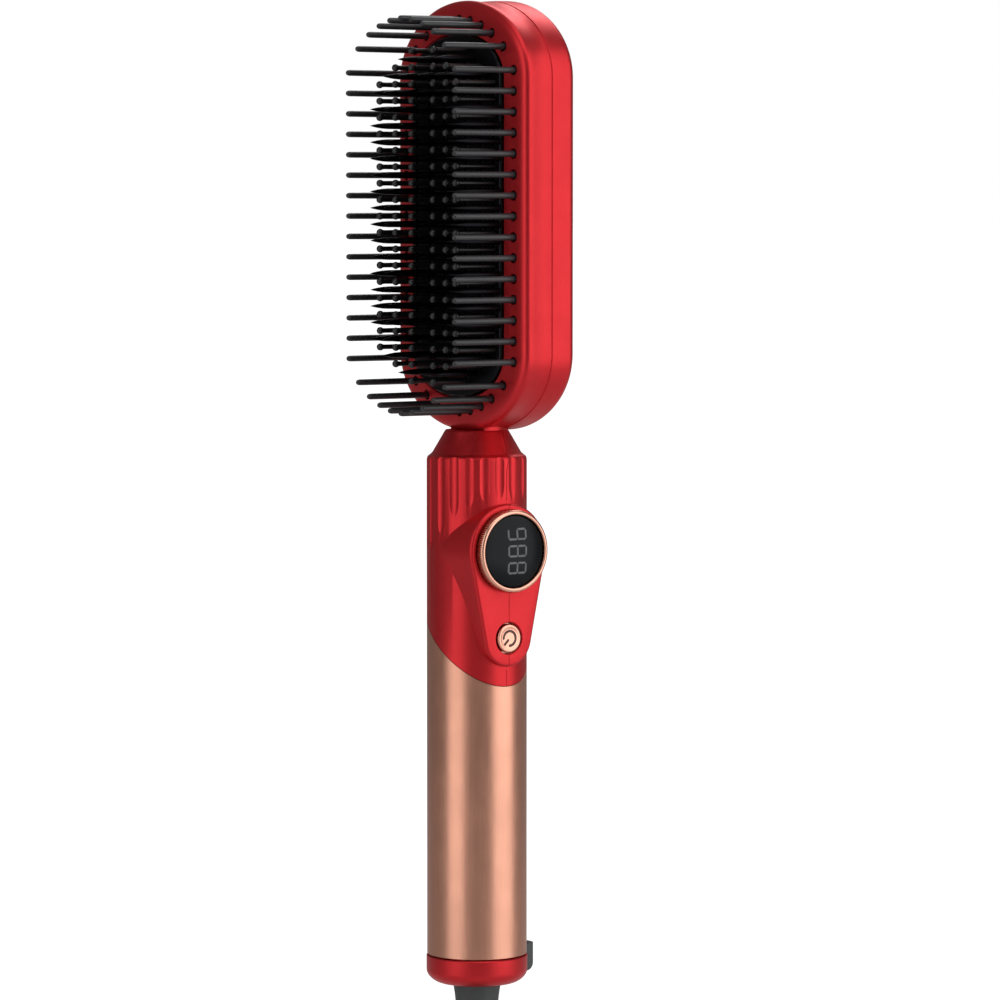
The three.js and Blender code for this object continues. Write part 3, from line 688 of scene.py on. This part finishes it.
# -------- handle, dial and button sizes
R = 14.75  # the handle's radius
BORE = 11.4
SPIGOT = 13.1
COLLAR_TOP, NECK_TOP = 108.3, 115.75
CUT_LOW, CUT_SLOPE = 41.1, 0.834  # the slanted end of the grip tube, at the dial's side, and its slope
KNOB_Z, BUTTON_Z = 80.9, 55.2
BOSS_UPPER, BOSS_LOWER = 13.7, 8.4  # radii of the control boss round the dial and round the button
SCREW_X, SCREW_Z = 6.4, 34
FINE = 192  # segments round the handle


def above_cut(name, drop=0.0):
    """Everything above the slanted plane where the grip tube ends."""
    reach, wide, top = 30, 42, 260
    level = CUT_LOW - drop
    outline = [(-reach, level + CUT_SLOPE * (R + reach)), (reach, level + CUT_SLOPE * (R - reach))]
    outline += [(reach, top), (-reach, top)]
    return prism(name, outline, "y", -wide, wide)


def teardrop(inset=0.0, upper=BOSS_UPPER, lower=BOSS_LOWER, steps=56):
    """The control boss's outline, as (y, z) points: two circles and the lines that touch both."""
    tilt = -math.asin((upper - lower) / (KNOB_Z - BUTTON_Z))
    points = []
    for k in range(steps + 1):
        angle = tilt + (math.pi - 2 * tilt) * k / steps
        points.append(((upper - inset) * math.cos(angle), KNOB_Z + (upper - inset) * math.sin(angle)))
    for k in range(steps + 1):
        angle = math.pi - tilt + (math.pi + 2 * tilt) * k / steps
        points.append(((lower - inset) * math.cos(angle), BUTTON_Z + (lower - inset) * math.sin(angle)))
    return points


def boss_skin():
    """The boss from its flared foot to its rounded face, as (x, inset) stations."""
    stations = [(1.0, -1.0), (4.0, -0.92), (7.0, -0.7), (9.5, -0.42), (12.0, -0.16), (14.2, 0.0)]
    stations += [(15.35, 0.04), (15.62, 0.16), (15.82, 0.34), (15.95, 0.58), (16.0, 0.86)]
    return loft("boss_skin", [[(x, y, z) for y, z in teardrop(inset)] for x, inset in stations])


FLUTES, FLUTE_RADIUS, FLUTE_FOOT = 20, 2.9, 2.35
FLUTE_LOW = 80  # where the flutes start away from the boss
CLEAR_WIDE, CLEAR_HIGH = 22, 15.6  # half sizes of the plain oval round the dial


def flute_start(angle):
    along = R * angle / CLEAR_WIDE
    return max(FLUTE_LOW, KNOB_Z + CLEAR_HIGH * math.sqrt(max(0, 1 - along * along)))


def flute_cutter(index):
    """A shallow groove that fades out at its lower end and is cut square at the collar's top."""
    angle = (index + 0.5) / FLUTES * TAU - math.pi
    reach = R + 2.4
    low = flute_start(abs(angle)) - 1
    x, y = reach * math.cos(angle), reach * math.sin(angle)
    steps, sides = 12, 40
    stations = []
    for k in range(steps + 1):
        part = k / steps
        grown = FLUTE_FOOT + (FLUTE_RADIUS - FLUTE_FOOT) * math.sin(part * math.pi / 2)
        stations.append((grown, low + 5 * part))
    stations.append((FLUTE_RADIUS, COLLAR_TOP + 4))
    turns = [TAU * i / sides for i in range(sides)]
    rings = [[(x + r * math.cos(a), y + r * math.sin(a), z) for a in turns] for r, z in stations]
    return loft("flute", rings)


def collar_shape():
    """The fluted collar above the grip tube, its cone and neck, and the spigot inside the tube."""
    profile = [(0, 20), (R, 20), (R, 106.9), (R - 0.06, 107.4), (R - 0.22, 107.85), (R - 0.5, 108.2)]
    profile += [(R - 0.75, COLLAR_TOP), (13.1, 109.1), (9.9, 114.6), (9.6, 115.1), (9.4, 115.45)]
    profile += [(9.1, NECK_TOP), (0, NECK_TOP)]
    collar = lathe("collar", profile, segments=FINE)
    boolean(collar, above_cut("cut"), "INTERSECT")
    flutes = join("flutes", [flute_cutter(i) for i in range(FLUTES)])
    boolean(flutes, lathe("cone_keep", [(0, 108.25), (30, 108.25), (30, 130), (0, 130)], segments=64))
    boolean(collar, flutes)
    boolean(collar, boss_skin(), "UNION")
    spigot = lathe("spigot", [(0, 28), (SPIGOT, 28), (SPIGOT, 66), (0, 66)], segments=FINE)
    boolean(collar, spigot, "UNION")
    stub = lathe("stub", [(0, 112), (9.0, 112), (9.0, 118.2), (0, 118.2)], segments=FINE)
    boolean(stub, block("stub_side", (-20, -3.4, 100), (20, 10.4, 130)), "INTERSECT")
    boolean(collar, stub, "UNION")
    return collar


def screw_pillars():
    """Pillars for the two housing screws, with pilot holes, trimmed to fit inside the spigot."""
    pillars, limit = [], SPIGOT - 0.1
    for x in (SCREW_X, -SCREW_X):
        at = (x, 0, SCREW_Z)
        pillar = lathe("pillar", [(0, -10.2), (2.6, -10.2), (2.6, 9.8), (0, 9.8)], "y", at, 32)
        boolean(pillar, lathe("pilot", [(0, -7), (1.2, -7), (1.2, 12), (0, 12)], "y", at, 24))
        boolean(pillar, lathe("limit", [(0, 20), (limit, 20), (limit, 50), (0, 50)]), "INTERSECT")
        pillars.append(pillar)
    return pillars


def hollow_out(shell):
    """Cuts the inside, the bristle window, and the holes for the guard bristles, the dial and the button."""
    bore = [(0, 27), (BORE, 27), (BORE, 66), (12.6, 69), (12.6, 102), (7.2, 108), (7.2, 113), (0, 113)]
    boolean(shell, lathe("bore", bore))
    boolean(shell, oval_slab("cavity", HALF_WIDTH - 1.9, RISE - 1.9, -3.6, 10.6))
    boolean(shell, block("wire_way", (-6, -2.2, 112), (6, 6, 122)))
    hollow = teardrop(0, 12.6, 6.6, 40)
    boolean(shell, loft("boss_hollow", [[(x, y, z) for y, z in hollow] for x in (1, 14.4)]))
    window = [(-7.6, 0.9), (-6.85, 0.4), (-6.4, 0.0), (-3.0, 0.0)]
    boolean(shell, loft("window", [oval_ring(y, -grow, 22.3, 13.3, 48) for y, grow in window]))
    pin_hole = [(0, -9), (1.5, -9), (1.5, -3), (0, -3)]
    holes = [lathe("hole", pin_hole, "y", (x, 0, HEAD_Z + z), 28) for x, z in GUARD_SPOTS]
    boolean(shell, join("holes", holes))
    knob_hole = [(0, 9), (11.75, 9), (11.75, 15.7), (12.15, 16.1), (12.15, 20), (0, 20)]
    boolean(shell, lathe("knob_hole", knob_hole, "x", (0, 0, KNOB_Z), FINE))
    button_hole = [(0, 9), (4.65, 9), (4.65, 15.75), (5.0, 16.1), (5.0, 20), (0, 20)]
    boolean(shell, lathe("button_hole", button_hole, "x", (0, 0, BUTTON_Z), 72))
    for pillar in screw_pillars():
        boolean(shell, pillar, "UNION")


def seam_groove():
    """A shallow groove along the parting line of the collar and the control boss."""
    half, bend, top = 0.08, 104, NECK_TOP
    lean = (top - bend) * PARTING / 15
    line = [(-half, 20), (half, 20), (half, bend), (lean + half, top), (lean - half, top), (-half, bend)]
    groove = prism("seam", line, "x", -25, 25)
    core = [(0, 15), (R - 0.3, 15), (R - 0.3, 108.2), (12.8, 109.1), (8.8, top + 0.2), (0, top + 0.2)]
    boolean(groove, lathe("seam_core", core))
    boolean(groove, loft("seam_boss", [[(x, y, z) for y, z in teardrop(-1)] for x in (0, 15.7)]))
    return groove


def rear_region(shift):
    outline = [(0, 20), (60, 20), (60, 260), (PARTING, 260), (PARTING, 119), (0, 104)]
    return prism("rear_side", [(y + shift, z) for y, z in outline], "x", -60, 60)


def housings():
    """The front and rear halves, parted by a hair's breadth and fixed by two screws and four posts."""
    front = head_skin()
    boolean(front, collar_shape(), "UNION")
    boolean(front, seam_groove())
    hollow_out(front)
    rear = linked("rear_shell", front.data.copy())
    front.name = "front_shell"
    gap = 0.006
    boolean(front, rear_region(-gap))
    boolean(rear, rear_region(gap), "INTERSECT")
    seat = [(0, 7.6), (2.3, 7.6), (2.3, 14), (0, 14)]
    for x in (SCREW_X, -SCREW_X):
        boolean(rear, lathe("screw_seat", seat, "y", (x, 0, SCREW_Z), 32))
    post = [(0, 3.0), (1.5, 3.0), (1.8, 3.3), (1.8, 11.4), (0, 11.4)]
    for x in (21, -21):
        for z in (30, -30):
            boolean(rear, lathe("post", post, "y", (x, 0, HEAD_Z + z), 24), "UNION")
    return front, rear


front_shell, rear_shell = housings()
finish_piece(front_shell, "handle", ["front_housing"], red_paint, 24)
finish_piece(rear_shell, "handle", ["rear_housing"], red_paint, 24)


def guard_pin():
    """A blunt-ended pin with a root collar, along -Y."""
    profile = [(0, -2.4), (1.2, -2.4), (1.2, -4.4), (1.1, -4.9), (0.98, -6.2), (0.95, -8), (0.88, -26.9)]
    profile += [(0.8, -27.35), (0.66, -27.7), (0.42, -27.92), (0, -28)]
    return lathe("guard_pin", profile, "y", segments=20)


def guard_frame():
    rim = oval_slab("guard_rim", 29.2, 20.2, -3.3, -1.8)
    boolean(rim, oval_slab("guard_rim_hole", 24.0, 15.0, -6, -1))
    guard_pins = copies("guard_pins", guard_pin(), [at_spot(x, z) for x, z in GUARD_SPOTS])
    return join("guard_bristles", [rim, guard_pins])


finish_piece(guard_frame(), "handle", ["guard_bristle_frame"], guard_black)


def tooth(tip):
    """One heated tooth: a blade-like spike, thicker along X than along Z, with a sharp tip."""
    stations = [(-7.3, 1.02, 1.2), (-7.9, 0.98, 1.02), (-10, 0.96, 0.98), (tip + 6.4, 0.92, 0.92)]
    stations += [(tip + 4.2, 0.8, 0.8), (tip + 2.4, 0.56, 0.56), (tip + 1.0, 0.3, 0.3), (tip, 0.06, 0.05)]
    turns = [TAU * i / 16 for i in range(16)]
    return loft("tooth", [[(x * math.cos(a), y, z * math.sin(a)) for a in turns] for y, x, z in stations])


def column_slots(name, half_width, extra, low, high, rounding):
    """An upright slot shape for each bristle column."""
    slots = []
    for x, rows, _ in COLUMNS:
        reach = rows * ROW + extra
        for side in (x, -x):
            outline = [(side + px, HEAD_Z + pz) for px, pz in rounded(half_width, reach, rounding, 5)]
            slots.append(prism(name, outline, "y", low, high))
    return slots


def corner_tools(name, radius, low, high):
    """A round shape at each of the plate's four screws."""
    return [
        lathe(name, [(0, low), (radius, low), (radius, high), (0, high)], "y", (x, 0, HEAD_Z + z), 32)
        for x in (15.8, -15.8)
        for z in (43.5, -43.5)
    ]


def heating_plate():
    """The plate with its chamfered face, flange, bristle slots and screw bosses, and the teeth on it."""
    top = [(-7.6, 0.7), (-7.48, 0.3), (-7.2, 0.05), (-7.0, 0.0), (-2.8, 0.0)]
    plate = loft("hot_plate", [oval_ring(y, inset, 21.9, 12.9, 48) for y, inset in top])
    boolean(plate, oval_slab("plate_flange", 23.4, 14.4, -3.3, -2.0), "UNION")
    boolean(plate, join("slots", column_slots("slot", 0.95, 1.4, -9, -1, 0.9)))
    boolean(plate, join("bosses", corner_tools("boss", 2.0, -2.8, 0.8)), "UNION")
    boolean(plate, join("boss_bores", corner_tools("boss_bore", 1.0, -1.8, 2.2)))
    teeth = []
    for x, rows, tip in FINS:
        places = [at_spot(side, z) for side, z in column_spots(x, rows, 0.5)]
        teeth.append(copies("teeth", tooth(tip), places))
    return join("hot_plate_with_teeth", [plate, *teeth])


finish_piece(heating_plate(), "handle", ["heating_plate"], plate_black)


def ball_bristle(centre):
    """A nylon bristle with a round bead at its tip."""
    ball, steps = 1.08, 12
    profile = [(0, -6.4), (0.86, -6.4), (0.84, -8.2), (0.76, -12), (0.7, centre + 1.6), (0.72, centre + 1.3)]
    for k in range(3, steps + 1):
        angle = math.pi * k / steps
        profile.append((ball * math.sin(angle), centre + ball * math.cos(angle)))
    profile[-1] = (0, centre - ball)
    return lathe("bristle", profile, "y", segments=16)


def bristle_block():
    """The nylon insert behind the plate: its ribs reach through the slots and carry the bristles."""
    base = oval_slab("bristle_base", 23.0, 14.0, 1.2, 2.6)
    boolean(base, block("wire_gap", (-1.9, 0, HEAD_Z - 46), (1.9, 4, HEAD_Z + 30)))
    boolean(base, join("ribs", column_slots("rib", 0.65, 1.1, -7.0, 1.9, 0.6)), "UNION")
    boolean(base, join("screw_ways", corner_tools("screw_way", 1.3, 0, 4)))
    bristles = []
    for x, rows, centre in COLUMNS:
        places = [at_spot(side, z) for side, z in column_spots(x, rows, 0)]
        bristles.append(copies("bristles", ball_bristle(centre), places))
    return join("bristle_block", [base, *bristles])


finish_piece(bristle_block(), "handle", ["bristle_insert"], bristle_black)


# -------- dial, display and button
KNURLS, KNURL_STEPS, KNURL_DEPTH = 116, 6, 0.42


def knob():
    """The dial ring: its (radius, x, knurl) section is carried round, dipping where knurl isn't 0."""
    section = [(10.75, 10.9, 0), (11.45, 10.9, 0), (11.45, 13.0, 0), (12.2, 13.0, 0), (12.2, 14.0, 0)]
    section += [(11.45, 14.0, 0), (11.45, 16.3, 0), (11.85, 16.3, 0.4), (12.12, 16.42, 1), (12.22, 16.6, 1)]
    section += [(12.22, 18.05, 1), (12.12, 18.25, 0.6), (12.02, 18.35, 0), (12.05, 18.5, 0)]
    section += [(11.98, 18.72, 0), (11.8, 18.95, 0), (11.55, 19.1, 0), (11.25, 19.17, 0)]
    section += [(10.98, 19.12, 0), (10.8, 18.98, 0), (10.75, 18.8, 0)]
    count = KNURLS * KNURL_STEPS
    verts = []
    for radius, along, knurl in section:
        for i in range(count):
            dip = 0.5 - 0.5 * math.cos(TAU * (i % KNURL_STEPS) / KNURL_STEPS)
            deep = radius - KNURL_DEPTH * knurl * dip
            verts.append(on_axis("x", deep, along, TAU * i / count, (0, 0, KNOB_Z)))
    return mesh_object("dial_ring", verts, grid_faces(len(section), count, wrap_rows=True))


finish_piece(knob(), "dial", ["knob_ring"], gold_bright, 38)


def dome(radius):
    """Height of the lens face at a distance from its middle."""
    return 19.6 - 1.15 * (radius / 10.4) ** 2.4


def lens_shape():
    profile = [(0, 17.9), (10.35, 17.9), (10.4, 18.0), (10.4, 18.36), (10.33, 18.46)]
    profile += [(r, dome(r)) for r in (10.2, 9.8, 9.2, 8.4, 7.4, 6.2, 4.9, 3.5, 2.1, 0.9)]
    profile.append((0, dome(0)))
    return lathe("display_window", profile, "x", (0, 0, KNOB_Z), 128)


finish_piece(lens_shape(), "handle", ["display_lens"], lens)

SEGMENTS = {
    "top": ((0, 1), (1, 1)),
    "middle": ((0, 0.5), (1, 0.5)),
    "bottom": ((0, 0), (1, 0)),
    "upper_left": ((0, 0.5), (0, 1)),
    "upper_right": ((1, 0.5), (1, 1)),
    "lower_left": ((0, 0), (0, 0.5)),
    "lower_right": ((1, 0), (1, 0.5)),
}
EIGHT = tuple(SEGMENTS)
SIX = tuple(name for name in SEGMENTS if name != "upper_right")
DIGIT_WIDTH, DIGIT_HEIGHT, DIGIT_PITCH = 2.95, 6.2, 4.95
STROKE, GAP = 0.6, 0.08


def segment_strip(start, end, origin):
    """One display segment as a thin pointed strip that follows the dome of the lens."""
    a, b = Vector(start), Vector(end)
    along = (b - a).normalized()
    across = Vector((-along.y, along.x)) * STROKE / 2
    inset = STROKE / 2 + GAP
    reach = (b - a).length - 2 * inset
    steps = 6
    middle = [a + along * (inset + reach * k / steps) for k in range(steps + 1)]
    points = [a + along * GAP] + [p + across for p in middle]
    points += [b - along * GAP] + [p - across for p in reversed(middle)]
    rings = []
    for lift in (0.005, 0.035):
        ring = []
        for p in points:
            y, z = origin[0] - p.y, origin[1] + p.x
            ring.append((dome(math.hypot(y, z - KNOB_Z)) + lift, y, z))
        rings.append(ring)
    return loft("segment", rings)


def digits():
    """Three unlit seven-segment digits, one above the other and turned on their side."""
    pieces = []
    for place, shown in enumerate((EIGHT, EIGHT, SIX)):
        origin = (0.45 + DIGIT_HEIGHT / 2, KNOB_Z + 0.1 + (place - 1) * DIGIT_PITCH - DIGIT_WIDTH / 2)
        for name in shown:
            start, end = [(x * DIGIT_WIDTH, y * DIGIT_HEIGHT) for x, y in SEGMENTS[name]]
            pieces.append(segment_strip(start, end, origin))
    return join("display_digits", pieces)


finish_piece(digits(), "handle", [], digits_grey)


def power_mark(inset, low, high):
    """The open ring and bar of a power symbol, turned towards the lower left of the button."""
    gap, facing, steps = math.radians(38), math.radians(225), 44
    arc = []
    for radius, order in ((2.55 - inset, 1), (1.75 + inset, -1)):
        row = []
        for k in range(steps + 1):
            angle = facing + gap + inset / 2 + (TAU - 2 * gap - inset) * k / steps
            row.append((radius * math.cos(angle), BUTTON_Z + radius * math.sin(angle)))
        arc += row[::order]
    cos, sin = math.cos(facing), math.sin(facing)
    bar = []
    for along, across in rounded(1.2 - inset, 0.4 - inset, 0.3, 5):
        u = 1.6 + along
        bar.append((u * cos - across * sin, BUTTON_Z + u * sin + across * cos))
    return [prism("power_arc", arc, "x", low, high), prism("power_bar", bar, "x", low, high)]


def push_button():
    """The button with its flange inside the boss and the mark sunk into its face."""
    profile = [(0, 11), (3.2, 11), (3.2, 12.4), (5.4, 12.4), (5.4, 13.7), (4.15, 13.7), (4.15, 15.95)]
    profile += [(4.1, 16.15), (3.95, 16.31), (3.72, 16.39), (3.45, 16.4), (3.2, 16.34), (2.9, 16.26)]
    profile += [(2.0, 16.22), (0, 16.2)]
    cap = lathe("push_button", profile, "x", (0, 0, BUTTON_Z), 96)
    for mark in power_mark(0.0, 15.95, 17):
        boolean(cap, mark)
    return cap


finish_piece(push_button(), "button", ["power_button"], gold_bright, 30)
# A thin dark brown sheet at the bottom of the sunk power mark: painted shade that makes the recess read dark.
symbol = join("power_symbol", power_mark(0.05, 15.98, 16.08))
finish_piece(symbol, "button", [], symbol_painted_shade, 30)


# -------- grip tube, end cap, hook and boot
SEAM_GAP = 0.22  # the fine dark line between the tube and the collar


def grip_tube():
    profile = [(13.4, 70), (13.4, -39.4), (13.6, -39.6), (14.5, -39.6), (R, -39.35), (R, 70)]
    tube = lathe("grip_tube", profile, segments=FINE, closed=True)
    return boolean(tube, above_cut("cut", SEAM_GAP))


finish_piece(grip_tube(), "handle", ["handle_tube"], gold_tube)


def cap_shape():
    """The end cap's section: its floor round the cord, rounded outside edge, and the wall inside the tube."""
    profile = [(7.5, -46.2), (7.5, -47.7), (7.8, -48), (10.9, -48), (11.6, -47.9), (12.4, -47.6)]
    profile += [(13.3, -47.05), (14.1, -46.3), (14.6, -45.6), (14.87, -44.9), (14.95, -44.1)]
    profile += [(14.95, -40.15), (14.7, -39.9), (SPIGOT, -39.9), (SPIGOT, -30.2), (12.9, -30), (11.6, -30)]
    profile += [(11.6, -39.6), (13.1, -40.4), (13.1, -45.2), (12.1, -46.2)]
    cap = lathe("end_cap_shell", profile, segments=FINE, closed=True)
    slot = [(x, -44.55 + z) for x, z in rounded(3.3, 2.05, 0.5, 4)]
    return boolean(cap, prism("hook_slot", slot, "y", 9, 20))


finish_piece(cap_shape(), "handle", ["end_cap"], red_paint, 24)


def hook_shape():
    """The hanging hook beside the cap, with its foot inside it: an outline in Y and Z with softened edges."""
    outline = [(11.3, -46), (16.3, -46.3)]
    bend, steps = 2.4, 8
    for k in range(1, steps + 1):
        angle = -math.pi / 2 + math.pi / 2 * k / steps
        outline.append((16.3 + bend * math.cos(angle), -43.9 + bend * math.sin(angle)))
    outline += [(18.7, -37.9), (18.5, -37.55), (15.95, -38.55), (15.8, -38.8), (15.5, -42.8)]
    outline += [(12.4, -42.8), (12.4, -41.6), (11.3, -41.6)]
    hook = prism("hook", outline, "x", -3, 3)
    bm = bmesh.new()
    bm.from_mesh(hook.data)
    rim = [e for e in bm.edges if e.calc_face_angle(0) > 1.2]
    rounding = {"offset": 0.3 * MM, "segments": 3, "profile": 0.6, "affect": "EDGES", "clamp_overlap": True}
    bmesh.ops.bevel(bm, geom=rim, **rounding)
    bm.to_mesh(hook.data)
    bm.free()
    return hook


finish_piece(hook_shape(), "handle", ["hanging_hook"], dark_grey, 40)


BOOT_TAPER = ((-52, 6.55), (-53, 6.3), (-62, 5.6), (-72, 4.9), (-80, 4.3), (BOOT_END, 4.0))  # z, radius
RIB_FIRST, RIB_LAST, RIB_PITCH = -57.0, -82, 3.6


def boot_radius(z):
    for (z0, r0), (z1, r1) in zip(BOOT_TAPER, BOOT_TAPER[1:]):
        if z1 <= z <= z0:
            return r0 + (r1 - r0) * (z - z0) / (z1 - z0)
    return BOOT_TAPER[-1][1]


def boot_shape():
    """The strain relief: a stem and flange inside the cap, then a taper with grooves between its ribs."""
    profile = [(0, -24), (3.0, -24), (3.2, -24.2), (3.2, -43.2), (9.0, -43.2), (9.2, -43.4), (9.2, -45.6)]
    profile += [(9.0, -45.8), (7.1, -45.8), (7.1, -48.4), (6.85, -50), (6.55, -52)]
    z = RIB_FIRST
    while z > RIB_LAST:
        r = boot_radius(z)
        profile += [(r + 0.05, z), (r - 0.12, z - 0.12), (r - 0.85, z - 0.45)]
        profile += [(r - 0.85, z - 1.25), (r - 0.2, z - 1.6), (boot_radius(z - 1.7) + 0.05, z - 1.75)]
        z -= RIB_PITCH
    profile += [(boot_radius(-84.5), -84.5), (4.0, -85.6), (3.8, -85.9), (3.5, BOOT_END), (0, BOOT_END)]
    return lathe("boot", profile)


finish_piece(boot_shape(), "cord", ["strain_relief_boot"], dark_grey)


# -------- floor, world and lights
scene.view_settings.view_transform = "Standard"
FLOOR_Z = -0.336
WHITE = (1, 1, 1, 1)


def studio_floor():
    """A pale floor that glows to the camera, less so near the brush, and lights the brush only faintly."""
    half = 60
    corners = [(-half, -half), (half, -half), (half, half), (-half, half)]
    mesh = bpy.data.meshes.new("floor")
    mesh.from_pydata([(x, y, FLOOR_Z) for x, y in corners], [], [(0, 1, 2, 3)])
    floor = linked("floor", mesh)
    m = Nodes("floor_pale")
    from_middle = m.node("VectorMath", {0: m.place}, operation="LENGTH").outputs["Value"]
    glow = m.range(from_middle, 0.25, 1.0, 0.5, 2.4)
    seen = m.node("LightPath", {}).outputs["Is Camera Ray"]
    m.surface({"Base Color": (0.7, 0.7, 0.7, 1), "Roughness": 0.9, "Emission Color": WHITE})
    m.surface({"Emission Strength": m.range(seen, 0.06, glow, 0, 1)})
    mesh.materials.append(m.material)


def studio_world():
    """White to the camera, and a dim even fill for everything else."""
    world = bpy.data.worlds.new("studio")
    scene.world = world
    world.use_nodes = True
    tree = world.node_tree
    tree.nodes.clear()

    def background(strength):
        node = tree.nodes.new("ShaderNodeBackground")
        node.inputs["Color"].default_value = WHITE
        node.inputs["Strength"].default_value = strength
        return node.outputs["Background"]

    path = tree.nodes.new("ShaderNodeLightPath")
    mix = tree.nodes.new("ShaderNodeMixShader")
    out = tree.nodes.new("ShaderNodeOutputWorld")
    tree.links.new(path.outputs["Is Camera Ray"], mix.inputs["Fac"])
    tree.links.new(background(0.14), mix.inputs[1])
    tree.links.new(background(1.0), mix.inputs[2])
    tree.links.new(mix.outputs["Shader"], out.inputs["Surface"])


BEARING = math.radians(53.5)  # of the camera, round from -Y
TOWARDS_CAMERA = Vector((math.sin(BEARING), -math.cos(BEARING), 0))
RIGHT = Vector((math.cos(BEARING), math.sin(BEARING), 0))
LIGHTS_LOOK_AT = Vector((0, 0, 0.1))


def softbox(name, degrees, distance, size, z, power):
    """An area light whose bearing is counted from the camera's own, positive to the right."""
    turn = math.radians(degrees)
    data = bpy.data.lights.new(name, "AREA")
    data.shape = "RECTANGLE"
    data.size, data.size_y = size
    data.energy = power
    light = linked(name, data)
    place = (TOWARDS_CAMERA * math.cos(turn) + RIGHT * math.sin(turn)) * distance
    light.location = (place.x, place.y, z)
    light.rotation_euler = (LIGHTS_LOOK_AT - light.location).to_track_quat("-Z", "Y").to_euler()
    light.visible_camera = False


studio_floor()
studio_world()
softbox("softbox_left", degrees=-49, distance=1.5, size=(1.1, 2.4), z=0.3, power=13)
softbox("softbox_right", degrees=64, distance=1.5, size=(1.5, 2.4), z=0.3, power=21)
softbox("softbox_back", degrees=165, distance=2.1, size=(1.6, 1.2), z=2.3, power=24)
softbox("softbox_top", degrees=25, distance=0.7, size=(1.5, 1.5), z=1.9, power=13)
